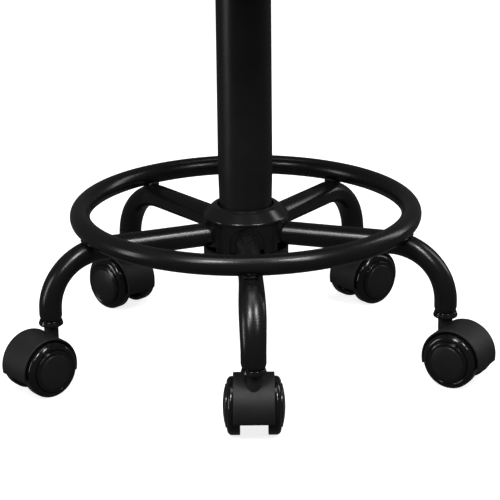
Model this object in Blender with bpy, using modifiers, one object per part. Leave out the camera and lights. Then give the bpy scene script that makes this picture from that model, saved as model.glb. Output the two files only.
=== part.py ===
"""Adjustable swivel stool: five bent tube legs with a foot ring, a gas lift column and a round seat.

Metres, +Z up. The casters stand on z = 0 and the column's axis is the Z axis. The seat is at its lowest.
"""
import math

import bmesh
import bpy
from mathutils import Matrix, Vector

# ------------------------------------------------------------------ clearances
GAP = 0.0003              # between pieces that touch, or where one fits in another
RUNNING = 0.0006          # beside a piece that turns past another

# ------------------------------------------------------------------ base and legs
LEG_TURN = math.radians(1.7)      # how far the five legs are turned about the column
STEM_CIRCLE = 0.1885              # from the column's axis to a caster's stem
LEG_RADIUS = 0.0108
LEG_WALL = 0.0018
TUBE_SIDES = 12                   # flats round a leg
ARM_HEIGHT = 0.1286               # the leg's axis at the hub
ARM_DROOP = math.radians(0.58)    # how far the arm slopes down outwards
LEG_BEND = 0.052                  # radius of the bend, on the leg's axis
RING_RADIUS = STEM_CIRCLE - 0.036 # foot ring, on its tube's axis
RING_TUBE = 0.0093
RING_WALL = 0.0015
VENT_RADIUS = 0.0015              # breather hole in the ring's underside

# ------------------------------------------------------------------ casters
WHEEL_RADIUS = 0.0256
WHEEL_INNER = 0.0122              # from the caster's middle plane to a wheel's inner face
TREAD_WIDTH = 0.0115
CAP_RADIUS = WHEEL_RADIUS - 0.0063
CAP_RISE = 0.0035                 # how far the side cap stands out of the tread's side
CASTER_TRAIL = 0.0141             # from the stem's axis back to the axle
AXLE_RADIUS = 0.003
HOOD_CLEARANCE = 0.0017           # from the tread to the inside of the hood
HOOD_WALL = 0.0018
HOOD_WIDTH = 0.036
WEB_WIDTH = 0.0205                # the wall between the two wheels
WEB_RADIUS = WHEEL_RADIUS - 0.0102
HOOD_LEAD = math.radians(14.5)    # how far the hood reaches below the axle on the stem's side
HOOD_TAIL = math.radians(14)      # and on the other side
NECK_RADIUS = 0.0066
NECK_RISE = 0.0054                # neck above the top of the hood
STEM_RADIUS = 0.0055
PIVOT_RADIUS = 0.004              # the stem's lower end, which the hood turns on
PIVOT_DEPTH = 0.030
COLLAR_HEIGHT = 0.0064
COLLAR_RADIUS = LEG_RADIUS + 0.0004
STEM_RISE = 0.022                 # the stem above the foot of the leg

# ------------------------------------------------------------------ gas lift
COLUMN_RADIUS = 0.025
COLUMN_WALL = 0.002
COLUMN_BOTTOM = ARM_HEIGHT - 0.0266
COLUMN_TOP = COLUMN_BOTTOM + 0.250
TAPER_TOP = COLUMN_BOTTOM + 0.086
TAPER = math.tan(math.radians(1.437))
COLUMN_FLOOR = 0.003
ROD_RADIUS = 0.005
RACE_RADIUS = COLUMN_RADIUS - 0.0065
RACE_HEIGHT = 0.002
CAGE_HEIGHT = 0.003
BALL_RADIUS = 0.0015
BALL_COUNT = 6
BUMPER_HEIGHT = 0.010
BUMPER_RADIUS = ROD_RADIUS + 0.006
CYLINDER_RADIUS = 0.014
CYLINDER_WALL = 0.0015
CYLINDER_END = 0.004
CYLINDER_TAPER = 0.048            # length of the cylinder's tapered top
STROKE = 0.130
PISTON_HEIGHT = 0.010
SLEEVE_LENGTH = 0.060
SLEEVE_FLANGE = 0.004
BUTTON_RADIUS = 0.0035
BUTTON_RISE = 0.0065
BUTTON_HEAD = 0.004
BUTTON_TRAVEL = 0.0045            # room above the button's head
PISTON_REST = 0.002               # between the cylinder's floor and the piston when it is fully out
CLIP_THICKNESS = 0.0016
CLIP_WIDTH = 0.0028
CLIP_GROOVE = 0.0008
ROD_END = 0.0012                  # rod below the clip

# ------------------------------------------------------------------ hub
SLEEVE_RADIUS = COLUMN_RADIUS + 0.0025      # steel hub that the legs are welded to
SLEEVE_BOTTOM = COLUMN_BOTTOM + 0.005
COVER_WALL = 0.0023
CAP_HOLE = COLUMN_RADIUS + 0.001
CAP_RIM = SLEEVE_RADIUS + 0.012
CAP_HEIGHT = 0.0110               # from the rim's lower edge to the top of the cover
CAP_FLAT = 0.0040                 # width of the flat round the hole
CAP_LIP = 0.0016                  # height of the rim's upright edge
BARREL_TOP_RADIUS = CAP_RIM - 0.0010
BARREL_FOOT_RADIUS = CAP_RIM - 0.0013
ARCH_MARGIN = 0.005               # from a leg's side to the arch around it
ARCH_CROWN = 0.0015               # the arch's crown above the leg
RIM_MARGIN = 0.004                # from the leg up to the cover's rim
SLEEVE_RISE = 0.0045              # the sleeve above the rim's lower edge
CUP_RADIUS = CAP_RIM - 0.0002
CUP_BOTTOM = COLUMN_BOTTOM - 0.006
CUP_HOLE = 0.009
CUP_MARGIN = 0.003                # from the legs' undersides to the cup's edge

# ------------------------------------------------------------------ seat and mechanism
SOCKET_CLEARANCE = 0.0062         # between the guide sleeve and the seat's socket, seat down
SOCKET_WALL = 0.006
SOCKET_OVERLAP = 0.008            # of the cylinder's taper inside the pan
PAN_WALL = 0.0025
PAN_SIZE = 0.100
PAN_DEPTH = 0.0302
FLANGE_LENGTH = 0.170
FLANGE_WIDTH = 0.150
BOLT_SPACING_X = 0.140
BOLT_SPACING_Y = 0.110
BOLT_RADIUS = 0.003
BOLT_HEAD = 0.0055
BOLT_HEAD_HEIGHT = 0.0035
LEVER_RADIUS = 0.004
LEVER_ARM = 0.045                 # from the button to the lever's pivot
LEVER_SLOPE = math.radians(10)
LEVER_PLAY = 0.0012               # between the lever and the button
PIVOT_PIN_RADIUS = 0.0025
PIVOT_PIN_LENGTH = 0.029
BRACKET_RISE = 0.005              # brackets above the lever's axis
BRACKET_TOE = 0.006               # how far the brackets run into the pan's wall
KNEE_GAP = 0.008                  # from the pan to the lever's knee
LEVER_TAIL = 0.012                # lever beyond the column's axis
SLOT_PLAY = 0.0015                # beside the lever in the pan's slot
BRACKET_INSET = 0.0085            # from the lever's axis to a bracket
BRACKET_WALL = 0.004
GRIP_RADIUS = 0.0075
GRIP_LENGTH = 0.062
SEAT_RADIUS = 0.180
BOARD_RADIUS = SEAT_RADIUS - 0.008
BOARD_THICKNESS = 0.012
LEVER_REACH = SEAT_RADIUS - 0.002
SEAT_FACETS = 30
SEAT_THICKNESS = 0.074            # from the board's underside to the top
SEAT_FLAT = SEAT_RADIUS - 0.070   # radius of the flat middle of the seat
SEAT_SHOULDER = 0.026
COVER_SKIN = 0.002
COVER_LIP = 0.020                 # how far the cover is pulled in under the board

# ------------------------------------------------------------------ worked out from those
AXLE_HEIGHT = WHEEL_RADIUS
HOOD_INNER = WHEEL_RADIUS + HOOD_CLEARANCE
HOOD_OUTER = HOOD_INNER + HOOD_WALL
NECK_TOP = AXLE_HEIGHT + HOOD_OUTER + NECK_RISE
COLLAR_BOTTOM = NECK_TOP + GAP
LEG_FOOT = COLLAR_BOTTOM + COLLAR_HEIGHT + GAP
WHEEL_OUTER = WHEEL_INNER + TREAD_WIDTH
RACE_BOTTOM = COLUMN_BOTTOM + COLUMN_FLOOR + GAP
CAGE_BOTTOM = RACE_BOTTOM + RACE_HEIGHT + GAP
UPPER_RACE_BOTTOM = CAGE_BOTTOM + CAGE_HEIGHT + GAP
BUMPER_BOTTOM = UPPER_RACE_BOTTOM + RACE_HEIGHT + GAP
CYLINDER_BOTTOM = BUMPER_BOTTOM + BUMPER_HEIGHT + GAP
PISTON_BOTTOM = CYLINDER_BOTTOM + CYLINDER_END + STROKE + PISTON_REST
CLIP_TOP = COLUMN_BOTTOM - GAP
CLIP_BOTTOM = CLIP_TOP - CLIP_THICKNESS
SOCKET_RADIUS = CYLINDER_RADIUS + SOCKET_WALL
SOCKET_BOTTOM = COLUMN_TOP + GAP + SLEEVE_FLANGE + SOCKET_CLEARANCE
CYLINDER_TOP = SOCKET_BOTTOM + CYLINDER_TAPER
PAN_BOTTOM = CYLINDER_TOP - SOCKET_OVERLAP
FLANGE_TOP = PAN_BOTTOM + PAN_DEPTH
BUTTON_TOP = CYLINDER_TOP + BUTTON_RISE
LEVER_HEIGHT = BUTTON_TOP + LEVER_PLAY + LEVER_RADIUS
BOARD_BOTTOM = FLANGE_TOP + GAP
BOARD_TOP = BOARD_BOTTOM + BOARD_THICKNESS
SEAT_TOP = BOARD_BOTTOM + SEAT_THICKNESS
RIM_BOTTOM = ARM_HEIGHT + LEG_RADIUS + RIM_MARGIN
SLEEVE_TOP = RIM_BOTTOM + SLEEVE_RISE
CUP_TOP = ARM_HEIGHT - LEG_RADIUS - CUP_MARGIN

LEG_NAMES = ("front", "front_right", "back_right", "back_left", "front_left")
TRAIL_HEADINGS = (90, -31, 39, 136, 219)      # degrees, the way each caster's wheels trail


# ------------------------------------------------------------------ scene, finishes and helpers
def clear_scene():
    for item in list(bpy.data.objects):
        bpy.data.objects.remove(item, do_unlink=True)


def new_collection(name):
    collection = bpy.data.collections.new(name)
    bpy.context.scene.collection.children.link(collection)
    return collection


clear_scene()
STOOL = new_collection("swivel_stool")
CUTTERS = new_collection("cutters")


def finish(name, color, roughness, metallic=0.0):
    material = bpy.data.materials.new(name)
    material.use_nodes = True
    shader = material.node_tree.nodes["Principled BSDF"]
    shader.inputs["Base Color"].default_value = (*color, 1.0)
    shader.inputs["Roughness"].default_value = roughness
    shader.inputs["Metallic"].default_value = metallic
    return material


POWDER_COAT = finish("powder_coat", (0.018, 0.018, 0.020), 0.42)
MATTE_PLASTIC = finish("matte_plastic", (0.022, 0.022, 0.024), 0.62)
GLOSS_PLASTIC = finish("gloss_plastic", (0.012, 0.012, 0.013), 0.18)
BRIGHT_STEEL = finish("bright_steel", (0.55, 0.56, 0.58), 0.28, 1.0)
RUBBER = finish("rubber", (0.03, 0.03, 0.03), 0.8)
FOAM = finish("foam", (0.72, 0.66, 0.42), 0.95)
VINYL = finish("vinyl", (0.020, 0.020, 0.022), 0.45)
PLYWOOD = finish("plywood", (0.55, 0.40, 0.24), 0.7)


def place(name, mesh, material=None, matrix=None):
    """Link a finished piece, or with no material a cutter, which the renders leave out."""
    item = bpy.data.objects.new(name, mesh)
    if matrix is not None:
        item.matrix_world = matrix
    if material is None:
        item.hide_render = True
        item.display_type = "WIRE"
        CUTTERS.objects.link(item)
        return item
    if not mesh.materials:
        mesh.materials.append(material)
    STOOL.objects.link(item)
    return item


def turned(name, outline, material=None, segments=24, matrix=None, closed=True):
    """Turn an outline of (radius, height) points, its outer side running downwards, round Z."""
    edges = [(i, i + 1) for i in range(len(outline) - 1)]
    if closed:
        edges.append((len(outline) - 1, 0))
    mesh = bpy.data.meshes.new(name)
    mesh.from_pydata([(radius, 0.0, height) for radius, height in outline], edges, [])
    item = place(name, mesh, material, matrix)
    screw = item.modifiers.new("Turn", "SCREW")
    screw.steps = segments
    screw.render_steps = segments
    screw.use_merge_vertices = True
    screw.merge_threshold = 0.00001
    screw.use_smooth_shade = True
    return item


def box(name, size, centre, material=None, matrix=None):
    mesh = bpy.data.meshes.new(name)
    shape = bmesh.new()
    bmesh.ops.create_cube(shape, size=1.0)
    bmesh.ops.scale(shape, vec=size, verts=shape.verts)
    bmesh.ops.translate(shape, vec=centre, verts=shape.verts)
    shape.to_mesh(mesh)
    shape.free()
    return place(name, mesh, material, matrix)


def rod(name, radius, length, centre, axis="Z", material=None, matrix=None, segments=16):
    """A plain cylinder about X, Y or Z."""
    turns = {"X": Matrix.Rotation(math.pi / 2, 4, "Y"), "Y": Matrix.Rotation(-math.pi / 2, 4, "X"),
             "Z": Matrix.Identity(4)}
    mesh = bpy.data.meshes.new(name)
    shape = bmesh.new()
    bmesh.ops.create_cone(shape, cap_ends=True, segments=segments, radius1=radius, radius2=radius,
                          depth=length, matrix=Matrix.Translation(centre) @ turns[axis])
    shape.to_mesh(mesh)
    shape.free()
    return place(name, mesh, material, matrix)


def combine(item, other, operation):
    step = item.modifiers.new(other.name, "BOOLEAN")
    step.operation = operation
    step.object = other
    step.solver = "EXACT"


def mesh_of(item, weld=0.00001):
    """The item's evaluated mesh, welded; the item itself is removed."""
    graph = bpy.context.evaluated_depsgraph_get()
    mesh = bpy.data.meshes.new_from_object(item.evaluated_get(graph))
    shape = bmesh.new()
    shape.from_mesh(mesh)
    bmesh.ops.remove_doubles(shape, verts=shape.verts, dist=weld)
    shape.to_mesh(mesh)
    shape.free()
    bpy.data.objects.remove(item, do_unlink=True)
    return mesh


def tube_mesh(name, points, radius, sides=TUBE_SIDES, capped=True):
    """A round bar along points, as a mesh; without caps it is the tube's open outer surface."""
    curve = bpy.data.curves.new(name, "CURVE")
    curve.dimensions = "3D"
    curve.bevel_depth = radius
    curve.bevel_resolution = sides // 2 - 2
    curve.use_fill_caps = capped
    spline = curve.splines.new("POLY")
    spline.points.add(len(points) - 1)
    for point, place_at in zip(spline.points, points):
        point.co = (*place_at, 1.0)
    item = bpy.data.objects.new(name, curve)
    CUTTERS.objects.link(item)
    bpy.context.view_layer.update()
    return mesh_of(item)


def plate_mesh(name, outline, thickness):
    """A flat outline in XZ, extruded both ways along Y."""
    curve = bpy.data.curves.new(name, "CURVE")
    curve.dimensions = "2D"
    curve.fill_mode = "BOTH"
    curve.extrude = thickness / 2
    spline = curve.splines.new("POLY")
    spline.points.add(len(outline) - 1)
    for point, (across, up) in zip(spline.points, outline):
        point.co = (across, up, 0.0, 1.0)
    spline.use_cyclic_u = True
    item = bpy.data.objects.new(name, curve)
    CUTTERS.objects.link(item)
    bpy.context.view_layer.update()
    mesh = mesh_of(item)
    mesh.transform(Matrix.Rotation(math.pi / 2, 4, "X"))
    return mesh


def arc(centre, radius, start, end, count):
    """Points on an arc about centre, from start to end in radians."""
    steps = [start + (end - start) * i / (count - 1) for i in range(count)]
    return [(centre[0] + radius * math.cos(a), centre[1] + radius * math.sin(a)) for a in steps]


def leg_azimuth(index):
    return math.radians(-90 + 72 * index) + LEG_TURN


def leg_frame(index):
    """Turns the XZ plane, in which a leg is drawn, to the leg's own direction."""
    return Matrix.Rotation(leg_azimuth(index), 4, "Z")


# ------------------------------------------------------------------ base
def arm_height(radius):
    return ARM_HEIGHT - (radius - SLEEVE_RADIUS) * math.tan(ARM_DROOP)


def bend_centre():
    """Where the bend's centre is in the leg's plane; the foot is upright below that height."""
    tangent = STEM_CIRCLE - LEG_BEND * (1 - math.sin(ARM_DROOP))
    return (STEM_CIRCLE - LEG_BEND, arm_height(tangent) - LEG_BEND * math.cos(ARM_DROOP))


def leg_path(bend_points=7):
    """The leg's axis in its own plane: an arm that slopes gently, a bend and an upright foot."""
    path = [(SLEEVE_RADIUS + GAP, ARM_HEIGHT)]
    path += arc(bend_centre(), LEG_BEND, math.pi / 2 - ARM_DROOP, 0.0, bend_points)
    path.append((STEM_CIRCLE, LEG_FOOT))
    return [(across, 0.0, up) for across, up in path]


def make_legs():
    mesh = tube_mesh("leg", leg_path(), LEG_RADIUS, capped=False)
    for index, name in enumerate(LEG_NAMES):
        leg = place("leg_" + name, mesh, POWDER_COAT, leg_frame(index))
        wall = leg.modifiers.new("Wall", "SOLIDIFY")
        wall.thickness = LEG_WALL
        wall.offset = -1.0
    mesh.shade_smooth()


def ring_height():
    """The ring's axis when it rests on the outside of the legs' bends."""
    across, up = bend_centre()
    apart = LEG_BEND + LEG_RADIUS + GAP + RING_TUBE
    return up + math.sqrt(apart**2 - (RING_RADIUS - across)**2)


def ring_of(name, tube, material):
    bpy.ops.mesh.primitive_torus_add(major_radius=RING_RADIUS, minor_radius=tube, major_segments=36,
                                     minor_segments=8, location=(0, 0, ring_height()))
    item = bpy.context.object
    item.name = name
    for collection in list(item.users_collection):
        collection.objects.unlink(item)
    if material is None:
        item.hide_render = True
        item.display_type = "WIRE"
        CUTTERS.objects.link(item)
    else:
        item.data.materials.append(material)
        STOOL.objects.link(item)
    return item


def make_foot_ring():
    ring = ring_of("foot_ring", RING_TUBE, POWDER_COAT)
    combine(ring, ring_of("ring_bore", RING_TUBE - RING_WALL, None), "DIFFERENCE")
    between = leg_azimuth(0) + math.radians(36)
    spot = (RING_RADIUS * math.cos(between), RING_RADIUS * math.sin(between), ring_height() - RING_TUBE)
    combine(ring, rod("ring_vent", VENT_RADIUS, 5 * RING_WALL, spot, segments=6), "DIFFERENCE")
    ring.data.shade_smooth()


def column_radius(height):
    return COLUMN_RADIUS - max(TAPER_TOP - height, 0.0) * TAPER


def make_hub():
    turned("hub_sleeve", [
        (SLEEVE_RADIUS, SLEEVE_TOP), (SLEEVE_RADIUS, SLEEVE_BOTTOM),
        (column_radius(SLEEVE_BOTTOM) + GAP, SLEEVE_BOTTOM),
        (column_radius(SLEEVE_TOP) + GAP, SLEEVE_TOP)], POWDER_COAT)
    make_top_cover()
    make_bottom_cover()


def make_top_cover():
    """A sloping cap over the sleeve, and a barrel below its rim with an arch over each leg."""
    top = RIM_BOTTOM + CAP_HEIGHT
    foot = CUP_TOP + GAP
    sloping = [(CAP_HOLE, top), (CAP_HOLE + CAP_FLAT, top - 0.0003), (CAP_RIM, RIM_BOTTOM + CAP_LIP),
               (CAP_RIM, RIM_BOTTOM)]
    barrel = [(BARREL_TOP_RADIUS, RIM_BOTTOM - 0.001), (BARREL_FOOT_RADIUS, foot),
              (BARREL_FOOT_RADIUS - COVER_WALL, foot), (BARREL_TOP_RADIUS - COVER_WALL, RIM_BOTTOM)]
    under = [(BARREL_TOP_RADIUS - COVER_WALL, RIM_BOTTOM + CAP_LIP),
             (CAP_HOLE + CAP_FLAT - COVER_WALL / 2, top - COVER_WALL), (CAP_HOLE, top - COVER_WALL)]
    cover = turned("hub_top_cover", sloping + barrel + under, MATTE_PLASTIC, 24)
    half = LEG_RADIUS + ARCH_MARGIN
    crown = ARM_HEIGHT + LEG_RADIUS + ARCH_CROWN
    low = foot - COVER_WALL
    reach = CAP_RIM - SLEEVE_RADIUS + COVER_WALL
    middle = SLEEVE_RADIUS + reach / 2
    for index, name in enumerate(LEG_NAMES):
        outline = [(-half, low), (half, low)] + arc((0.0, crown - half), half, 0.0, math.pi, 9)
        mesh = plate_mesh("arch", outline, reach)
        turn = leg_frame(index) @ Matrix.Translation((middle, 0, 0)) @ Matrix.Rotation(math.pi / 2, 4, "Z")
        combine(cover, place("arch_" + name, mesh, None, turn), "DIFFERENCE")


def make_bottom_cover():
    inside = CUP_BOTTOM + COVER_WALL
    turned("hub_bottom_cover", [
        (CUP_RADIUS, CUP_TOP), (CUP_RADIUS, CUP_BOTTOM + 0.009), (CUP_RADIUS - 0.0025, CUP_BOTTOM + 0.002),
        (CUP_RADIUS - 0.005, CUP_BOTTOM), (CUP_HOLE, CUP_BOTTOM), (CUP_HOLE, inside),
        (CUP_RADIUS - 0.0060, inside), (CUP_RADIUS - COVER_WALL, CUP_BOTTOM + 0.010),
        (CUP_RADIUS - COVER_WALL, CUP_TOP)], MATTE_PLASTIC)


# ------------------------------------------------------------------ casters
def caster_frame(index):
    """X points the way the wheels trail, Y lies along the axle, and Z is the stem's axis."""
    azimuth = leg_azimuth(index)
    stem = Vector((STEM_CIRCLE * math.cos(azimuth), STEM_CIRCLE * math.sin(azimuth), 0.0))
    return Matrix.Translation(stem) @ Matrix.Rotation(math.radians(TRAIL_HEADINGS[index]), 4, "Z")


def hood_mesh():
    """The hood over both wheels, the web between them and the neck that the stem turns in."""
    axle = (CASTER_TRAIL, AXLE_HEIGHT)
    start = -HOOD_TAIL
    end = math.pi + HOOD_LEAD
    shell = arc(axle, HOOD_OUTER, start, end, 15) + arc(axle, HOOD_INNER, end, start, 15)
    hood = place("hood", plate_mesh("hood", shell, HOOD_WIDTH), MATTE_PLASTIC)
    middle = HOOD_OUTER - HOOD_WALL / 2
    upper = arc(axle, middle, math.radians(8), math.radians(186), 12)
    lower = arc(axle, WEB_RADIUS, math.radians(215), math.radians(338), 8)
    web = place("web", plate_mesh("web", upper + lower, WEB_WIDTH))
    combine(hood, web, "UNION")
    neck_foot = AXLE_HEIGHT - WEB_RADIUS / 2
    neck_length = NECK_TOP - neck_foot
    neck = rod("neck", NECK_RADIUS, neck_length, (0, 0, neck_foot + neck_length / 2), segments=14)
    combine(hood, neck, "UNION")
    bore_length = PIVOT_DEPTH + 2 * GAP
    bore = rod("stem_bore", PIVOT_RADIUS + GAP, 2 * bore_length, (0, 0, NECK_TOP), segments=12)
    combine(hood, bore, "DIFFERENCE")
    hole = rod("axle_hole", AXLE_RADIUS + GAP, 2 * HOOD_WIDTH, (axle[0], 0, axle[1]), "Y", segments=12)
    combine(hood, hole, "DIFFERENCE")
    bpy.context.view_layer.update()
    mesh = mesh_of(hood)
    mesh.shade_smooth()
    mesh.set_sharp_from_angle(angle=math.radians(35))
    return mesh


def wheel_outline():
    """From the outer side in: cap, tread, a recessed inner side, the boss and its blind bore."""
    near = WHEEL_INNER
    far = WHEEL_OUTER
    tip = far + CAP_RISE
    boss = AXLE_RADIUS + 0.0045
    bore_end = far - 0.0015
    face = [(0.0, tip), (CAP_RADIUS - 0.003, tip - 0.0010), (CAP_RADIUS, far)]
    tread = [(WHEEL_RADIUS - 0.0030, far - 0.0009), (WHEEL_RADIUS, far - 0.0042),
             (WHEEL_RADIUS, near + 0.0010)]
    back = [(WHEEL_RADIUS - 0.0035, near), (WHEEL_RADIUS - 0.0045, far - 0.004), (boss, far - 0.004)]
    bore = [(AXLE_RADIUS + GAP, near), (AXLE_RADIUS + GAP, bore_end), (0.0, bore_end)]
    return face + tread + back + [(boss, near)] + bore


def make_casters():
    hood = hood_mesh()
    sleeve = LEG_RADIUS * math.cos(math.pi / TUBE_SIDES) - LEG_WALL - GAP      # clear of the bore's flats
    bore = STEM_RADIUS + GAP
    top = bend_centre()[1] + 0.003
    tip = LEG_FOOT + STEM_RISE
    socket = [(sleeve - 0.0008, top), (sleeve, top - 0.001), (sleeve, COLLAR_BOTTOM + COLLAR_HEIGHT),
              (COLLAR_RADIUS - 0.0008, COLLAR_BOTTOM + COLLAR_HEIGHT), (COLLAR_RADIUS, COLLAR_BOTTOM),
              (bore, COLLAR_BOTTOM), (bore, top)]
    stem = [(0.0, tip), (STEM_RADIUS - 0.0008, tip), (STEM_RADIUS, tip - 0.001),
            (STEM_RADIUS, NECK_TOP + GAP), (PIVOT_RADIUS, NECK_TOP + GAP),
            (PIVOT_RADIUS, NECK_TOP - PIVOT_DEPTH), (0.0, NECK_TOP - PIVOT_DEPTH)]
    half_axle = WHEEL_OUTER - 0.002
    for index, name in enumerate(LEG_NAMES):
        frame = caster_frame(index)
        turned("socket_" + name, socket, GLOSS_PLASTIC, 16, frame)
        turned("stem_" + name, stem, BRIGHT_STEEL, 12, frame, closed=False)
        place("hood_" + name, hood, MATTE_PLASTIC, frame)
        axle = frame @ Matrix.Translation((CASTER_TRAIL, 0, AXLE_HEIGHT))
        rod("axle_" + name, AXLE_RADIUS, 2 * half_axle, (0, 0, 0), "Y", BRIGHT_STEEL, axle, 12)
        for side, quarter in (("left", -math.pi / 2), ("right", math.pi / 2)):
            wheel = axle @ Matrix.Rotation(quarter, 4, "X")
            turned(side + "_wheel_" + name, wheel_outline(), GLOSS_PLASTIC, 20, wheel, closed=False)


# ------------------------------------------------------------------ gas lift
def make_stand_tube():
    bottom = column_radius(COLUMN_BOTTOM)
    floor = COLUMN_BOTTOM + COLUMN_FLOOR
    hole = ROD_RADIUS + GAP
    turned("stand_tube", [
        (COLUMN_RADIUS, COLUMN_TOP), (COLUMN_RADIUS, TAPER_TOP), (bottom, COLUMN_BOTTOM),
        (hole, COLUMN_BOTTOM), (hole, floor), (column_radius(floor) - COLUMN_WALL, floor), (COLUMN_RADIUS - COLUMN_WALL, TAPER_TOP),
        (COLUMN_RADIUS - COLUMN_WALL, COLUMN_TOP)], POWDER_COAT, 24)
    inside = COLUMN_RADIUS - COLUMN_WALL - GAP
    bore = CYLINDER_RADIUS + GAP
    seat = COLUMN_TOP + GAP
    turned("guide_sleeve", [
        (COLUMN_RADIUS - 0.001, seat + SLEEVE_FLANGE), (COLUMN_RADIUS, seat + SLEEVE_FLANGE - 0.001),
        (COLUMN_RADIUS, seat), (inside, seat), (inside, COLUMN_TOP - SLEEVE_LENGTH),
        (bore, COLUMN_TOP - SLEEVE_LENGTH), (bore, seat + SLEEVE_FLANGE)], MATTE_PLASTIC)


def race(name, bottom, bore, outer, height, material):
    return turned(name, [(outer, bottom + height), (outer, bottom), (bore, bottom), (bore, bottom + height)],
                  material, 20)


def make_bearing():
    race("lower_race", RACE_BOTTOM, ROD_RADIUS + RUNNING, RACE_RADIUS, RACE_HEIGHT, BRIGHT_STEEL)
    race("upper_race", UPPER_RACE_BOTTOM, ROD_RADIUS + GAP, RACE_RADIUS, RACE_HEIGHT, BRIGHT_STEEL)
    thin = CAGE_HEIGHT / 4
    cage = race("ball_cage", CAGE_BOTTOM + thin, ROD_RADIUS + RUNNING, RACE_RADIUS, 2 * thin, BRIGHT_STEEL)
    pitch = (ROD_RADIUS + RACE_RADIUS) / 2
    for index in range(BALL_COUNT):
        angle = math.tau * (index + 0.5) / BALL_COUNT
        mesh = bpy.data.meshes.new("ball")
        shape = bmesh.new()
        centre = (pitch * math.cos(angle), pitch * math.sin(angle), CAGE_BOTTOM + CAGE_HEIGHT / 2)
        bmesh.ops.create_uvsphere(shape, u_segments=6, v_segments=5, radius=BALL_RADIUS,
                                  matrix=Matrix.Translation(centre))
        shape.to_mesh(mesh)
        shape.free()
        combine(cage, place("ball_%d" % (index + 1), mesh), "UNION")


def make_rod_and_bumper():
    groove = ROD_RADIUS - CLIP_GROOVE
    piston = CYLINDER_RADIUS - CYLINDER_WALL - GAP
    top = PISTON_BOTTOM + PISTON_HEIGHT
    bottom = CLIP_BOTTOM - ROD_END
    turned("piston_rod", [
        (0.0, top), (piston, top), (piston, PISTON_BOTTOM), (ROD_RADIUS, PISTON_BOTTOM),
        (ROD_RADIUS, CLIP_TOP + GAP), (groove, CLIP_TOP + GAP), (groove, CLIP_BOTTOM - GAP),
        (ROD_RADIUS, CLIP_BOTTOM - GAP), (ROD_RADIUS, bottom), (0.0, bottom)],
        BRIGHT_STEEL, 16, closed=False)
    race("rebound_bumper", BUMPER_BOTTOM, ROD_RADIUS + GAP, BUMPER_RADIUS, BUMPER_HEIGHT, RUBBER)
    mouth = math.radians(25)
    inner = groove + GAP
    outline = (arc((0, 0), ROD_RADIUS + CLIP_WIDTH, mouth, math.tau - mouth, 16)
               + arc((0, 0), inner, math.tau - mouth, mouth, 16))
    clip = plate_mesh("clip", outline, CLIP_THICKNESS)
    clip.transform(Matrix.Rotation(-math.pi / 2, 4, "X"))
    spot = Matrix.Translation((0, 0, CLIP_TOP - CLIP_THICKNESS / 2))
    place("retaining_clip", clip, BRIGHT_STEEL, spot)


def cylinder_radius(height):
    """The pressure cylinder's outer radius, straight and then tapered to fit the seat's socket."""
    return CYLINDER_RADIUS - max(height - SOCKET_BOTTOM, 0.0) * TAPER


def make_cylinder():
    rod_hole = ROD_RADIUS + GAP
    button_hole = BUTTON_RADIUS + GAP
    inner = CYLINDER_RADIUS - CYLINDER_WALL
    roof = CYLINDER_TOP - CYLINDER_END
    floor = CYLINDER_BOTTOM + CYLINDER_END
    outside = [(button_hole, CYLINDER_TOP), (cylinder_radius(CYLINDER_TOP), CYLINDER_TOP),
               (CYLINDER_RADIUS, SOCKET_BOTTOM), (CYLINDER_RADIUS, CYLINDER_BOTTOM),
               (rod_hole, CYLINDER_BOTTOM)]
    inside = [(rod_hole, floor), (inner, floor), (inner, SOCKET_BOTTOM),
              (cylinder_radius(roof) - CYLINDER_WALL, roof), (button_hole, roof)]
    turned("pressure_cylinder", outside + inside, BRIGHT_STEEL, 18)
    head = roof - BUTTON_TRAVEL
    wide = BUTTON_RADIUS + 0.0025
    turned("release_button", [
        (0.0, BUTTON_TOP), (BUTTON_RADIUS, BUTTON_TOP), (BUTTON_RADIUS, head), (wide, head),
        (wide, head - BUTTON_HEAD), (0.0, head - BUTTON_HEAD)], BRIGHT_STEEL, 12, closed=False)


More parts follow.
